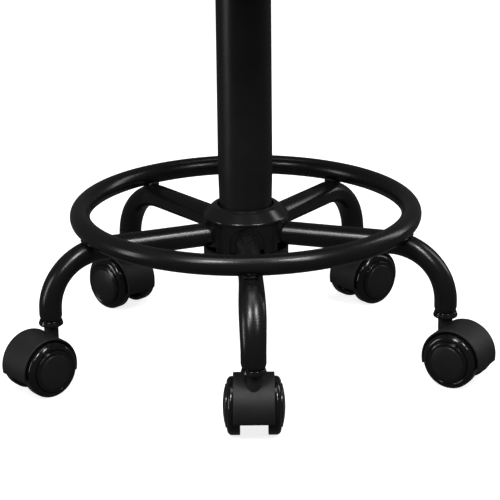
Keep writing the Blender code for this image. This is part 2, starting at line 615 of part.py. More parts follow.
# ------------------------------------------------------------------ seat
def make_seat_plate():
    top = PAN_BOTTOM - GAP
    turned("taper_socket", [
        (SOCKET_RADIUS, top), (SOCKET_RADIUS, SOCKET_BOTTOM), (CYLINDER_RADIUS + GAP, SOCKET_BOTTOM),
        (cylinder_radius(top) + GAP, top)], POWDER_COAT)
    middle = PAN_BOTTOM + PAN_DEPTH / 2
    plate = box("seat_plate", (PAN_SIZE, PAN_SIZE, PAN_DEPTH), (0, 0, middle), POWDER_COAT)
    rim = box("plate_rim", (FLANGE_LENGTH, FLANGE_WIDTH, PAN_WALL), (0, 0, FLANGE_TOP - PAN_WALL / 2))
    combine(plate, rim, "UNION")
    hollow = PAN_SIZE - 2 * PAN_WALL
    inside = box("pan_inside", (hollow, hollow, PAN_DEPTH), (0, 0, middle + PAN_WALL))
    combine(plate, inside, "DIFFERENCE")
    hole = rod("cylinder_hole", CYLINDER_RADIUS + RUNNING, 4 * PAN_WALL, (0, 0, PAN_BOTTOM), segments=20)
    combine(plate, hole, "DIFFERENCE")
    bracket_top = LEVER_HEIGHT + BRACKET_RISE
    bracket_height = bracket_top - PAN_BOTTOM - PAN_WALL / 2
    for side in (-1, 1):
        across = side * (BRACKET_INSET + BRACKET_WALL / 2)
        centre = (LEVER_ARM, across, bracket_top - bracket_height / 2)
        ear = box("bracket", (PAN_SIZE / 2 - LEVER_ARM + BRACKET_TOE, BRACKET_WALL, bracket_height), centre)
        combine(plate, ear, "UNION")
    pivot = (LEVER_ARM, 0, LEVER_HEIGHT)
    pin = rod("pin_hole", PIVOT_PIN_RADIUS + GAP, PIVOT_PIN_LENGTH, pivot, "Y", segments=12)
    combine(plate, pin, "DIFFERENCE")
    slot_size = (6 * PAN_WALL, 2 * (LEVER_RADIUS + SLOT_PLAY), 4 * LEVER_RADIUS)
    slot = box("lever_slot", slot_size, (PAN_SIZE / 2, 0, LEVER_HEIGHT - SLOT_PLAY / 2))
    combine(plate, slot, "DIFFERENCE")
    for across, along in bolt_places():
        drill = rod("bolt_hole", BOLT_RADIUS + GAP, 4 * PAN_WALL, (across, along, FLANGE_TOP), segments=12)
        combine(plate, drill, "DIFFERENCE")


def bolt_places():
    return [(x * BOLT_SPACING_X / 2, y * BOLT_SPACING_Y / 2) for x, y in ((1, 1), (-1, 1), (-1, -1), (1, -1))]


def make_bolts():
    under = FLANGE_TOP - PAN_WALL - GAP
    tip = BOARD_TOP - 0.001
    outline = [(0.0, tip), (BOLT_RADIUS, tip), (BOLT_RADIUS, under), (BOLT_HEAD, under),
               (BOLT_HEAD, under - BOLT_HEAD_HEIGHT), (0.0, under - BOLT_HEAD_HEIGHT)]
    for number, (across, along) in enumerate(bolt_places(), 1):
        spot = Matrix.Translation((across, along, 0))
        turned("seat_bolt_%d" % number, outline, BRIGHT_STEEL, 12, spot, closed=False)


def make_lever():
    """A rod rocking on a cross pin: its inner end lies over the button, and its outer end is pulled up."""
    knee = PAN_SIZE / 2 + KNEE_GAP
    end = (LEVER_REACH, 0.0, LEVER_HEIGHT - (LEVER_REACH - knee) * math.tan(LEVER_SLOPE))
    path = [(-LEVER_TAIL, 0, LEVER_HEIGHT), (knee, 0, LEVER_HEIGHT), end]
    mesh = tube_mesh("lever", path, LEVER_RADIUS, sides=10)
    lever = place("lever_rod", mesh, BRIGHT_STEEL)
    pin = rod("lever_pin", PIVOT_PIN_RADIUS, PIVOT_PIN_LENGTH, (LEVER_ARM, 0, LEVER_HEIGHT), "Y", segments=10)
    combine(lever, pin, "UNION")
    bore = LEVER_RADIUS + GAP
    grip = [(0.0, 0.004), (GRIP_RADIUS - 0.002, 0.004), (GRIP_RADIUS, 0.001),
            (GRIP_RADIUS - 0.001, 0.012 - GRIP_LENGTH), (LEVER_RADIUS + 0.0015, -GRIP_LENGTH),
            (bore, -GRIP_LENGTH), (bore, GAP), (0.0, GAP)]
    tilt = Matrix.Translation(end) @ Matrix.Rotation(math.pi / 2 + LEVER_SLOPE, 4, "Y")
    turned("lever_grip", grip, GLOSS_PLASTIC, 16, tilt, closed=False)


def seat_side(offset, top):
    """A quarter ellipse from the flat top to the seat's side, drawn in by offset."""
    radius = SEAT_RADIUS - offset
    steps = [math.pi / 2 * i / 4 for i in range(5)]
    return [(SEAT_FLAT + (radius - SEAT_FLAT) * math.sin(a), top - SEAT_SHOULDER * (1 - math.cos(a)))
            for a in steps]


def make_seat():
    board = turned("seat_board", [
        (0.0, BOARD_TOP), (BOARD_RADIUS, BOARD_TOP), (BOARD_RADIUS, BOARD_BOTTOM), (0.0, BOARD_BOTTOM)],
        PLYWOOD, SEAT_FACETS, closed=False)
    for across, along in bolt_places():
        spot = (across, along, BOARD_BOTTOM)
        drill = rod("board_hole", BOLT_RADIUS + GAP, 3 * BOARD_THICKNESS, spot, segments=12)
        combine(board, drill, "DIFFERENCE")
    skin = COVER_SKIN + GAP
    base = BOARD_TOP + GAP
    turned("seat_foam", [(0.0, SEAT_TOP - skin)] + seat_side(skin, SEAT_TOP - skin)
           + [(SEAT_RADIUS - skin, base), (0.0, base)], FOAM, SEAT_FACETS, closed=False)
    hem = BOARD_BOTTOM - GAP
    lip = BOARD_RADIUS - COVER_LIP
    outside = [(0.0, SEAT_TOP)] + seat_side(0.0, SEAT_TOP)
    outside += [(SEAT_RADIUS, hem + 0.001), (SEAT_RADIUS - 0.002, hem - COVER_SKIN), (lip, hem - COVER_SKIN)]
    inside = seat_side(COVER_SKIN, SEAT_TOP - COVER_SKIN)
    inside = [(lip, hem), (SEAT_RADIUS - COVER_SKIN, hem)] + inside[::-1] + [(0.0, SEAT_TOP - COVER_SKIN)]
    turned("seat_cover", outside + inside, VINYL, SEAT_FACETS, closed=False)


make_legs()
make_foot_ring()
make_hub()
make_casters()
make_stand_tube()
make_bearing()
make_rod_and_bumper()
make_cylinder()
make_seat_plate()
make_bolts()
make_lever()
make_seat()
bpy.context.view_layer.update()
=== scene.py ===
# %% [markdown]
# # A swivel stool, piece by piece
# The stool has a round padded seat on a gas lift. The lift stands in a hub with five bent tube
# legs, a foot ring lies on the legs' bends, and each leg ends in a caster with two wheels under a
# hood. The CAD model of it is already made: it says where every part is and how it moves. Here
# each part gets the shape and the finish that an eye would look for.
#
# Units are metres and +Z is up. Most pieces are surfaces: a grid of points worked out with numpy
# from a formula, and joined to its neighbours with faces.

# %% Load the frame
import math

import bmesh
import bpy
import numpy as np
from mathutils import Matrix, Vector


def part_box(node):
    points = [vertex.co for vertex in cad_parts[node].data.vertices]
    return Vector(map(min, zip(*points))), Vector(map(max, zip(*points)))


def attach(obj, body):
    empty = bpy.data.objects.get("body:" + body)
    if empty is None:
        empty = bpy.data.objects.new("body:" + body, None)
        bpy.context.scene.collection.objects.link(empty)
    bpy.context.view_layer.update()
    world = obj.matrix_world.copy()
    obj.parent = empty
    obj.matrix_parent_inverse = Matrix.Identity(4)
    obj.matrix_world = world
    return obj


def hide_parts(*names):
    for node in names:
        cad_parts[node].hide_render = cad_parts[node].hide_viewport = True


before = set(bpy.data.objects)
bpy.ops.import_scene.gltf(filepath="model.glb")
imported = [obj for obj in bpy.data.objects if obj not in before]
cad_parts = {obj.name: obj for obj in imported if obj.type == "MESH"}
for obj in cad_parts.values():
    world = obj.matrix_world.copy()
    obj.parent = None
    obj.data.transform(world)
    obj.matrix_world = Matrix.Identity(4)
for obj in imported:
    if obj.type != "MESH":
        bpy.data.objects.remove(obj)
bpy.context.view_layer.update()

LEGS = ("front", "front_right", "back_right", "back_left", "front_left")
MM = 0.001

# %% [markdown]
# ## Grids of points
# A surface that is a function of two parameters needs only whole-array sums: one array for the
# first parameter down the rows, one for the second across the columns. The grid's faces follow
# from counting, so no vertex is ever handled on its own. A closed grid also has a signed volume,
# and where that comes out negative the faces point inwards and are turned round.


# %% Grid helpers
def shell(points, wrap_rows=False, wrap_columns=True):
    """Vertices and quads of a grid: point (row, column) is joined to the next row and column."""
    rows, columns = points.shape[:2]
    row = np.arange(rows if wrap_rows else rows - 1)[:, None]
    column = np.arange(columns if wrap_columns else columns - 1)[None, :]
    below, right = (row + 1) % rows, (column + 1) % columns
    corners = (row * columns + column, row * columns + right,
               below * columns + right, below * columns + column)
    quads = np.stack(np.broadcast_arrays(*corners), axis=-1).reshape(-1, 4)
    points = points.reshape(-1, 3)
    a, b, c, d = (points[quads[:, i]] for i in range(4))
    volume = (a * np.cross(b, c)).sum() + (a * np.cross(c, d)).sum()
    return points, quads[:, ::-1] if volume < 0 else quads


def moved(part, matrix):
    """The same shell carried to another place: every point times the matrix."""
    points, quads = part
    m = np.array(matrix)
    return points @ m[:3, :3].T + m[:3, 3], quads


def meshed(name, part):
    """A new mesh of a shell's points and quads."""
    mesh = bpy.data.meshes.new(name)
    mesh.from_pydata(part[0].tolist(), [], part[1].tolist())
    return mesh


def placed(name, data):
    """A new object for the data, in the scene."""
    item = bpy.data.objects.new(name, data)
    bpy.context.scene.collection.objects.link(item)
    return item


def modified(item):
    """A new mesh of the item as its modifiers leave it."""
    return bpy.data.meshes.new_from_object(item.evaluated_get(bpy.context.evaluated_depsgraph_get()))


def piece(name, shells, finish, body, nodes=(), sharp=40, weld=1e-6):
    """One mesh of closed shells, welded at poles and seams, riding on a CAD body."""
    starts = np.cumsum([0] + [len(points) for points, _ in shells])
    points = np.concatenate([points for points, _ in shells])
    quads = np.concatenate([quads + start for (_, quads), start in zip(shells, starts)])
    mesh = meshed(name, (points, quads))
    work = bmesh.new()
    work.from_mesh(mesh)
    bmesh.ops.remove_doubles(work, verts=work.verts, dist=weld)
    bmesh.ops.dissolve_degenerate(work, edges=work.edges, dist=weld / 2)
    work.to_mesh(mesh)
    work.free()
    mesh.shade_smooth()
    mesh.set_sharp_from_angle(angle=math.radians(sharp))
    for material in finish if isinstance(finish, (list, tuple)) else [finish]:
        mesh.materials.append(material)
    item = placed(name, mesh)
    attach(item, body)
    if nodes:
        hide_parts(*nodes)
    print(f"{name}: {len(mesh.vertices)} points, {len(mesh.polygons)} faces")
    return item


# %% [markdown]
# ## Outlines
# Turned and pressed parts have outlines with small radii at their corners: a cutter, a mould or a
# die leaves them, and they are what catches the light. An outline is given by its corners and a
# radius for each, and the radius is drawn with a short curve. Long straight runs are cut up too,
# so that the shading between a flat and a curve stays even.


# %% Outline helpers
def rounded(corners, steps=5, longest=2.5 * MM, closed=False):
    """Corners of (x, y, radius) to points: each corner becomes the curve
    (1-t)^2 P + 2t(1-t) C + t^2 Q between the points that lie a radius away from it."""
    corners = np.array(corners, float)
    xy, radius = corners[:, :2], corners[:, 2]
    to_last, to_next = np.roll(xy, 1, 0) - xy, np.roll(xy, -1, 0) - xy
    reach_last, reach_next = np.linalg.norm(to_last, axis=1), np.linalg.norm(to_next, axis=1)
    if not closed:
        radius[0] = radius[-1] = 0.0
    cut = np.minimum(radius, 0.49 * np.minimum(reach_last, reach_next))
    t = np.linspace(0, 1, steps)[None, :, None]
    start = (xy + to_last * (cut / reach_last)[:, None])[:, None]
    end = (xy + to_next * (cut / reach_next)[:, None])[:, None]
    curves = (1 - t) ** 2 * start + 2 * t * (1 - t) * xy[:, None] + t**2 * end
    points = curves.reshape(-1, 2)
    keep = np.linalg.norm(points - np.roll(points, 1, 0), axis=1) > 1e-7
    keep[0] = True
    points = points[keep]
    if closed:
        points = np.vstack([points, points[:1]])
    lengths = np.linalg.norm(np.diff(points, axis=0), axis=1)
    parts = np.maximum(np.ceil(lengths / longest).astype(int), 1)
    share = np.concatenate([np.arange(n) / n for n in parts])[:, None]
    first = np.repeat(np.arange(len(parts)), parts)
    dense = points[first] * (1 - share) + points[first + 1] * share
    return dense if closed else np.vstack([dense, points[-1:]])


def swept(radius, angle, height, wrap_rows=False):
    """Rings about Z: the point at angle a is (radius cos a, radius sin a, height)."""
    grid = np.broadcast_arrays(radius * np.cos(angle), radius * np.sin(angle), height)
    return shell(np.stack(grid, -1), wrap_rows)


def turned(outline, segments=96, wrap=True, steps=5, longest=2.5 * MM):
    """A lathe shape: an outline of (radius, height, corner radius) swept round Z."""
    points = rounded(outline, steps, longest, closed=wrap)
    angle = np.linspace(0, math.tau, segments, endpoint=False)[None, :]
    return swept(points[:, :1], angle, points[:, 1:], wrap)


def carried(path, heading, across, sideways, sides=40):
    """A round or oval section carried along a path in the XZ plane: the point at angle a is
    path + across cos a * (the path's own normal) + sideways sin a * Y."""
    a = np.linspace(0, math.tau, sides, endpoint=False)[None, :]
    normal_x, normal_z = -np.sin(heading)[:, None], np.cos(heading)[:, None]
    out, side = across[:, None] * np.cos(a), sideways[:, None] * np.sin(a)
    return np.stack([path[:, :1] + out * normal_x, side + 0 * out, path[:, 1:] + out * normal_z], -1)


def about_z(angle, offset=(0, 0, 0)):
    """A turn about Z by an angle in radians, followed by a shift."""
    return Matrix.Translation(offset) @ Matrix.Rotation(angle, 4, "Z")


def box_centre(node):
    lo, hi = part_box(node)
    return (lo + hi) / 2


# %% [markdown]
# ## The camera
# A long lens from about two metres away keeps the verticals parallel and the ring a clean
# ellipse. The camera looks a little down on the base, so the ring, the arms and the tops of the
# casters all show. Its view is described with four numbers and the point it aims at, and then
# turned into a matrix.

# %% Camera
VIEW_DISTANCE = 2.05
VIEW_RISE = math.radians(18.72)
VIEW_ROLL = math.radians(-0.63)
VIEW_LENS = 159.19
AIM = Vector((0.0036, 0.0, 0.1083))

back = Vector((0, -math.cos(VIEW_RISE), math.sin(VIEW_RISE)))
right = Vector((1, 0, 0))
up = right.cross(-back)
flat, upright = right.copy(), up.copy()
right = math.cos(VIEW_ROLL) * flat + math.sin(VIEW_ROLL) * upright
up = math.cos(VIEW_ROLL) * upright - math.sin(VIEW_ROLL) * flat
camera_data = bpy.data.cameras.new("camera")
camera_data.lens = VIEW_LENS
camera_data.sensor_width = 36
camera_data.clip_end = 50
camera = placed("camera", camera_data)
facing = Matrix((right, up, back)).transposed().to_4x4()
camera.matrix_world = Matrix.Translation(AIM + back * VIEW_DISTANCE) @ facing
bpy.context.scene.camera = camera
print("camera at", [round(c, 3) for c in camera.matrix_world.translation])

# %% [markdown]
# ## Finishes
# Almost everything on this stool is black, and what tells the parts apart is how they shine. The
# tubes have a baked powder coat: satin, with a faint orange-peel relief. The hoods and hub covers
# are moulded in plastic with a fine spark-eroded grain, and the wheels' rims are polished. A
# finish is therefore built from two noises on Object coordinates: a wide one that lets the tone
# and the roughness drift a little, and a fine one that gives relief through a bump.


# %% Node helpers
def blank(name):
    """A new material: (material, its node tree, its shader)."""
    material = bpy.data.materials.new(name)
    material.use_nodes = True
    tree = material.node_tree
    return material, tree, tree.nodes["Principled BSDF"]


def node(tree, kind, inputs=(), **settings):
    """Adds a node. Each input is (socket, value), and a value that is a socket is linked."""
    item = tree.nodes.new("ShaderNode" + kind)
    for key, value in settings.items():
        setattr(item, key, value)
    for socket, value in inputs:
        if isinstance(value, bpy.types.NodeSocket):
            tree.links.new(value, item.inputs[socket])
        else:
            item.inputs[socket].default_value = value
    return item


def noise(tree, vector, scale, detail=3.0, roughness=0.5):
    return node(tree, "TexNoise", [("Vector", vector), ("Scale", scale), ("Detail", detail),
                                   ("Roughness", roughness)]).outputs["Fac"]


def between(tree, value, low, high, start=0.3, end=0.7):
    """Maps a noise's middle range onto low..high."""
    return node(tree, "MapRange", [("Value", value), ("From Min", start), ("From Max", end),
                                   ("To Min", low), ("To Max", high)]).outputs["Result"]


def tinted(tree, factor, dark, light):
    return node(tree, "Mix", [("Factor", factor), ("A", (*dark, 1)), ("B", (*light, 1))],
                data_type="RGBA").outputs["Result"]


def dressed(tree, shader, tone, rough, relief, depth, height):
    """Gives the shader its tone, its roughness and a bump: height standing out relief times depth."""
    bump = node(tree, "Bump", [("Strength", relief), ("Distance", depth), ("Height", height)])
    for socket, value in (("Base Color", tone), ("Roughness", rough), ("Normal", bump.outputs["Normal"])):
        tree.links.new(value, shader.inputs[socket])


def grained(name, dark, light, rough, patch, grain, relief, metallic=0.0, coat=0.0, depth=0.0002):
    """Tone from dark to light and roughness from rough[0] to rough[1] over patches (per metre),
    with a fine grain (per metre) standing out by relief times depth."""
    material, tree, shader = blank(name)
    place = node(tree, "TexCoord").outputs["Object"]
    drift = noise(tree, place, patch, 5.0, 0.6)
    fine = noise(tree, place, grain, 2.0)
    both = node(tree, "Math", [(0, between(tree, drift, rough[0], rough[1])),
                               (1, between(tree, fine, -0.03, 0.03))], operation="ADD")
    dressed(tree, shader, tinted(tree, between(tree, drift, 0, 1), dark, light), both.outputs["Value"],
            relief, depth, fine)
    shader.inputs["Metallic"].default_value = metallic
    shader.inputs["Coat Weight"].default_value = coat
    shader.inputs["Coat Roughness"].default_value = 0.12
    return material


# %% The black finishes and the metals
POWDER = grained("satin_powder_coat", (.0065, .0065, .007), (.009, .009, .0095), (.23, .27), 30, 1100, .035)
COLUMN_COAT = grained("column_powder_coat", (.0065, .0065, .007), (.0085, .0085, .009), (.34, .40), 30,
                      1300, .12)
HOOD_PLASTIC = grained("hood_grained_plastic", (.0095, .0095, .010), (.0125, .0125, .013), (.50, .60), 60,
                       3200, .45)
HUB_PLASTIC = grained("hub_satin_plastic", (.008, .008, .0085), (.011, .011, .0115), (.19, .23), 30, 1800,
                      .035)
RIM_PLASTIC = grained("wheel_polished_plastic", (.006, .006, .0065), (.009, .009, .0095), (.11, .15), 40,
                      160, .012)
CAP_PLASTIC = grained("wheel_cap_satin_plastic", (.011, .011, .0115), (.014, .014, .0145), (.30, .36), 60,
                      2600, .12)
CHROME = grained("chromed_steel", (.72, .73, .74), (.80, .81, .82), (.08, .14), 25, 600, .03, metallic=1)
ZINC = grained("zinc_plated_steel", (.48, .49, .50), (.62, .62, .60), (.28, .40), 160, 1500, .15, metallic=1)
RUBBER = grained("black_rubber", (.012, .012, .012), (.020, .020, .020), (.72, .85), 90, 1400, .35)
BEAD = grained("coated_weld_bead", (.0065, .0065, .007), (.010, .010, .011), (.30, .40), 260, 700, .30)
print("finishes:", len(bpy.data.materials))

# %% [markdown]
# ## The legs
# Each leg is one steel tube: a nearly level arm out of the hub, a quarter bend and an upright foot
# that holds the caster. A bender squeezes a tube as it turns it, so the section in the bend is a
# little lower than it is wide, and the sawn foot is rolled in slightly round its insert. A round
# section carried along the axis, with its two radii as functions of the distance, gives all of
# that in one grid. The tube is hollow, so the grid goes out along the outside and comes back
# along the bore.

# %% Legs
LEG_RADIUS = 10.8 * MM
LEG_WALL = 1.8 * MM
HUB_RADIUS = 27.5 * MM
ARM_HEIGHT = 128.6 * MM
ARM_DROOP = math.radians(0.58)
LEG_BEND = 52 * MM
SQUEEZE = 0.09
FOOT_SQUEEZE = 0.04
GAP = 0.3 * MM
stem_reach = box_centre("stem_front").xy.length
leg_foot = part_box("leg_front")[0].z
azimuths = [math.atan2(box_centre("stem_" + n).y, box_centre("stem_" + n).x) for n in LEGS]
tangent = stem_reach - LEG_BEND * (1 - math.sin(ARM_DROOP))
bend_across = stem_reach - LEG_BEND
bend_up = ARM_HEIGHT - (tangent - HUB_RADIUS) * math.tan(ARM_DROOP) - LEG_BEND * math.cos(ARM_DROOP)


def leg_line():
    """The leg's axis: a straight arm, an arc about the bend's centre, a straight foot. Returns
    points (across, up), the heading at each, and how far round the bend each is (0 to 1)."""
    arm = np.linspace(HUB_RADIUS + GAP, tangent, 26)[:-1]
    turn = np.linspace(math.pi / 2 - ARM_DROOP, 0, 52)
    foot = bend_up - (bend_up - leg_foot) * np.linspace(0, 1, 22)[1:] ** 0.7
    points = np.vstack([
        np.column_stack([arm, ARM_HEIGHT - (arm - HUB_RADIUS) * math.tan(ARM_DROOP)]),
        np.column_stack([bend_across + LEG_BEND * np.cos(turn), bend_up + LEG_BEND * np.sin(turn)]),
        np.column_stack([np.full_like(foot, stem_reach), foot])])
    heading = np.concatenate([np.full_like(arm, -ARM_DROOP), turn - math.pi / 2,
                              np.full_like(foot, -math.pi / 2)])
    share = np.clip((-ARM_DROOP - heading) / (math.pi / 2 - ARM_DROOP), 0, 1)
    return points, heading, share


def leg_shell():
    """Outside and bore of one leg. Radius = nominal * (1 -/+ squeeze), squeeze = bend's * sin^2(pi
    * share) + foot's * share, rolled in by 0.9 mm over the last 4.5 mm of the foot; the first row
    is coped to the hub's cylinder."""
    points, heading, share = leg_line()
    squeeze = SQUEEZE * np.sin(math.pi * share) ** 2 + FOOT_SQUEEZE * share
    rise = np.clip((points[:, 1] - leg_foot) / (4.5 * MM), 0, 1)
    rolled = np.where(points[:, 0] > stem_reach - 1e-9, 0.9 * MM * (1 - rise) ** 2, 0.0)
    across, sideways = LEG_RADIUS * (1 - squeeze) - rolled, LEG_RADIUS * (1 + squeeze) - rolled
    outside = carried(points, heading, across, sideways, 56)
    bore = carried(points, heading, across - LEG_WALL + rolled, sideways - LEG_WALL + rolled, 56)
    for grid in (outside, bore):
        grid[0, :, 0] = np.sqrt(HUB_RADIUS**2 - grid[0, :, 1] ** 2) + GAP
    return shell(np.concatenate([outside, bore[::-1]]), wrap_rows=True)


one_leg = leg_shell()
for name, azimuth in zip(LEGS, azimuths):
    piece("tube_leg_" + name, [moved(one_leg, about_z(azimuth))], POWDER, "base",
          ["leg_" + name])

# %% [markdown]
# ## The foot ring and its welds
# The ring is a hoop of thinner tube for the sitter's heels. It lies on the five bends, and since
# two tubes that cross touch at one point only, the welder runs a small bead all round that point.
# The ring is a torus. A bead is a closed loop round the point of contact, as thick at each place
# as the wedge between the two tubes there, with the ripples that a welder's weaving leaves.

# %% Foot ring
ring_low, ring_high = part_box("foot_ring")
RING_TUBE = (ring_high.z - ring_low.z) / 2
RING_HEIGHT = (ring_high.z + ring_low.z) / 2
RING_RADIUS = ring_high.x - RING_TUBE


def torus(radius, tube, height, around=288, across=48):
    """Points ((R + r cos b) cos a, (R + r cos b) sin a, h + r sin b)."""
    a = np.linspace(0, math.tau, around, endpoint=False)[:, None]
    b = np.linspace(0, math.tau, across, endpoint=False)[None, :]
    reach = radius + tube * np.cos(b)
    return shell(np.stack([reach * np.cos(a), reach * np.sin(a), height + tube * np.sin(b) + 0 * a], -1),
                 True)


piece("foot_ring_hoop", [torus(RING_RADIUS, RING_TUBE, RING_HEIGHT)], POWDER, "base",
      ["foot_ring"])
print(f"ring: {2 * (RING_RADIUS + RING_TUBE) / MM:.1f} mm across, tube {2 * RING_TUBE / MM:.1f} mm")


# %% Weld beads
def bead(centre_line, thickness, sides=14):
    """A closed round bar along a closed line: a circle of the given thickness in the plane of the
    line's normal and binormal at every point."""
    along = np.roll(centre_line, -1, 0) - np.roll(centre_line, 1, 0)
    along /= np.linalg.norm(along, axis=1)[:, None]
    outward = centre_line - centre_line.mean(0)
    outward -= along * (outward * along).sum(1)[:, None]
    outward /= np.linalg.norm(outward, axis=1)[:, None]
    upward = np.cross(along, outward)
    a = np.linspace(0, math.tau, sides, endpoint=False)[None, :, None]
    return shell(centre_line[:, None] + thickness[:, None, None]
                 * (np.cos(a) * outward[:, None] + np.sin(a) * upward[:, None]), True)


def ring_weld():
    """Near the contact the ring's surface is at x^2 / 2r + gap and the leg's at -y^2 / 2R - x^2 / 2B,
    with B the outer radius of the bend. The bead's line is half way between them on an oval loop,
    and its thickness is half the wedge there plus a throat, rippled round the loop."""
    normal = np.array([RING_RADIUS - bend_across, 0, RING_HEIGHT - bend_up])
    normal /= np.linalg.norm(normal)
    contact = np.array([bend_across, 0, bend_up]) + (LEG_BEND + LEG_RADIUS) * normal
    along = np.array([normal[2], 0, -normal[0]])
    a = np.linspace(0, math.tau, 120, endpoint=False)
    x, y = 5.6 * MM * np.cos(a), 6.2 * MM * np.sin(a)
    above = x**2 / (2 * RING_TUBE) + GAP
    below = -(y**2) / (2 * LEG_RADIUS) - x**2 / (2 * (LEG_BEND + LEG_RADIUS))
    line = contact + np.outer(x, along) + np.outer(y, [0, 1, 0]) + np.outer((above + below) / 2, normal)
    ripple = 0.10 * MM * np.sin(17 * a) + 0.06 * MM * np.sin(5 * a + 1)
    return bead(line, (above - below) / 2 + 0.75 * MM + ripple)


def hub_weld():
    """A bead round the leg where it meets the hub: a circle wrapped on the hub's cylinder."""
    a = np.linspace(0, math.tau, 160, endpoint=False)
    y, z = (LEG_RADIUS + 0.5 * MM) * np.cos(a), ARM_HEIGHT + (LEG_RADIUS + 0.5 * MM) * np.sin(a)
    line = np.column_stack([np.sqrt((HUB_RADIUS + 0.4 * MM) ** 2 - y**2), y, z])
    return bead(line, 1.5 * MM + 0.12 * MM * np.sin(23 * a))


for name, azimuth in zip(LEGS, azimuths):
    turn = about_z(azimuth)
    piece("welds_" + name, [moved(ring_weld(), turn), moved(hub_weld(), turn)], BEAD, "base")

# %% [markdown]
# ## The hub
# The legs are welded to a steel sleeve with a tapered bore, and the stand tube is knocked into
# it. Two moulded covers hide the welds: a cap whose barrel has an arch over each leg, and a cup
# below. The cap is the only shape here that isn't simply turned. Its grid has the rows of a
# lathe, but the barrel's lower rows end on a line that goes up and over each arch, so each row
# between is a blend of the straight rim and that line.

# %% Hub sleeve and lower cup
sleeve_low, sleeve_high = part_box("hub_sleeve")
sleeve_bore = 25.1 * MM
piece("hub_socket", [turned([
    (HUB_RADIUS, sleeve_high.z, .6 * MM), (HUB_RADIUS, sleeve_low.z, .6 * MM),
    (sleeve_bore - 2.1 * MM, sleeve_low.z, .4 * MM), (sleeve_bore - 1.0 * MM, sleeve_high.z, .4 * MM)])],
    POWDER, "base", ["hub_sleeve"])

cup_low, cup_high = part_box("hub_bottom_cover")
cup = (cup_high.x - cup_low.x) / 2
piece("hub_lower_cup", [turned([
    (cup, cup_high.z, .5 * MM), (cup, cup_low.z + 9 * MM, 3 * MM), (cup - 2 * MM, cup_low.z, 4 * MM),
    (9 * MM, cup_low.z, .5 * MM), (9 * MM, cup_low.z + 2.3 * MM, .5 * MM),
    (cup - 5 * MM, cup_low.z + 2.3 * MM, 3 * MM),
    (cup - 2.3 * MM, cup_low.z + 9 * MM, 2 * MM), (cup - 2.3 * MM, cup_high.z, .5 * MM)])],
    HUB_PLASTIC, "base", ["hub_bottom_cover"])

# %% Hub cap with its arches
cap_low, cap_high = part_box("hub_top_cover")
CAP_TOP, CAP_FOOT = cap_high.z, cap_low.z
CAP_RIM = 39.5 * MM
CAP_WALL = 2.3 * MM
CAP_ROLL = 0.5 * MM
RIM_LOW = CAP_TOP - 11 * MM
HALF_SECTOR = math.pi / len(LEGS)
ARCH_HALF = LEG_RADIUS + 5 * MM
ARCH_CROWN = ARM_HEIGHT + LEG_RADIUS + 1.5 * MM
BARREL_TOP, BARREL_FOOT = 38.5 * MM, 38.2 * MM


def barrel_radius(height):
    """The barrel widens evenly from its foot up to the rim."""
    share = np.clip((height - CAP_FOOT) / (RIM_LOW - CAP_FOOT), 0, 1)
    return BARREL_FOOT + (BARREL_TOP - BARREL_FOOT) * share


def arch_line():
    """The barrel's lower edge round one leg, as (angle from the leg, height): along the finger's
    foot, up the arch's side, over a half circle of the arch's half width, and down again."""
    side = np.linspace(0, 1, 9)[:, None]
    spring = ARCH_CROWN - ARCH_HALF
    over = np.linspace(math.pi, 0, 31)[1:-1, None]
    foot_angle = math.asin(ARCH_HALF / BARREL_FOOT)
    finger = np.hstack([-HALF_SECTOR + side[:-1] * (HALF_SECTOR - foot_angle),
                        np.full_like(side[:-1], CAP_FOOT)])
    up_side = np.hstack([np.full_like(side, -ARCH_HALF), CAP_FOOT + side * (spring - CAP_FOOT)])
    crown = np.hstack([ARCH_HALF * np.cos(over), spring + ARCH_HALF * np.sin(over)])
    wall = np.vstack([up_side, crown, up_side[::-1] * [-1, 1]])
    wall[:, 0] = np.arcsin(wall[:, 0] / barrel_radius(wall[:, 1]))
    return np.vstack([finger, wall, finger[:0:-1] * [-1, 1]])


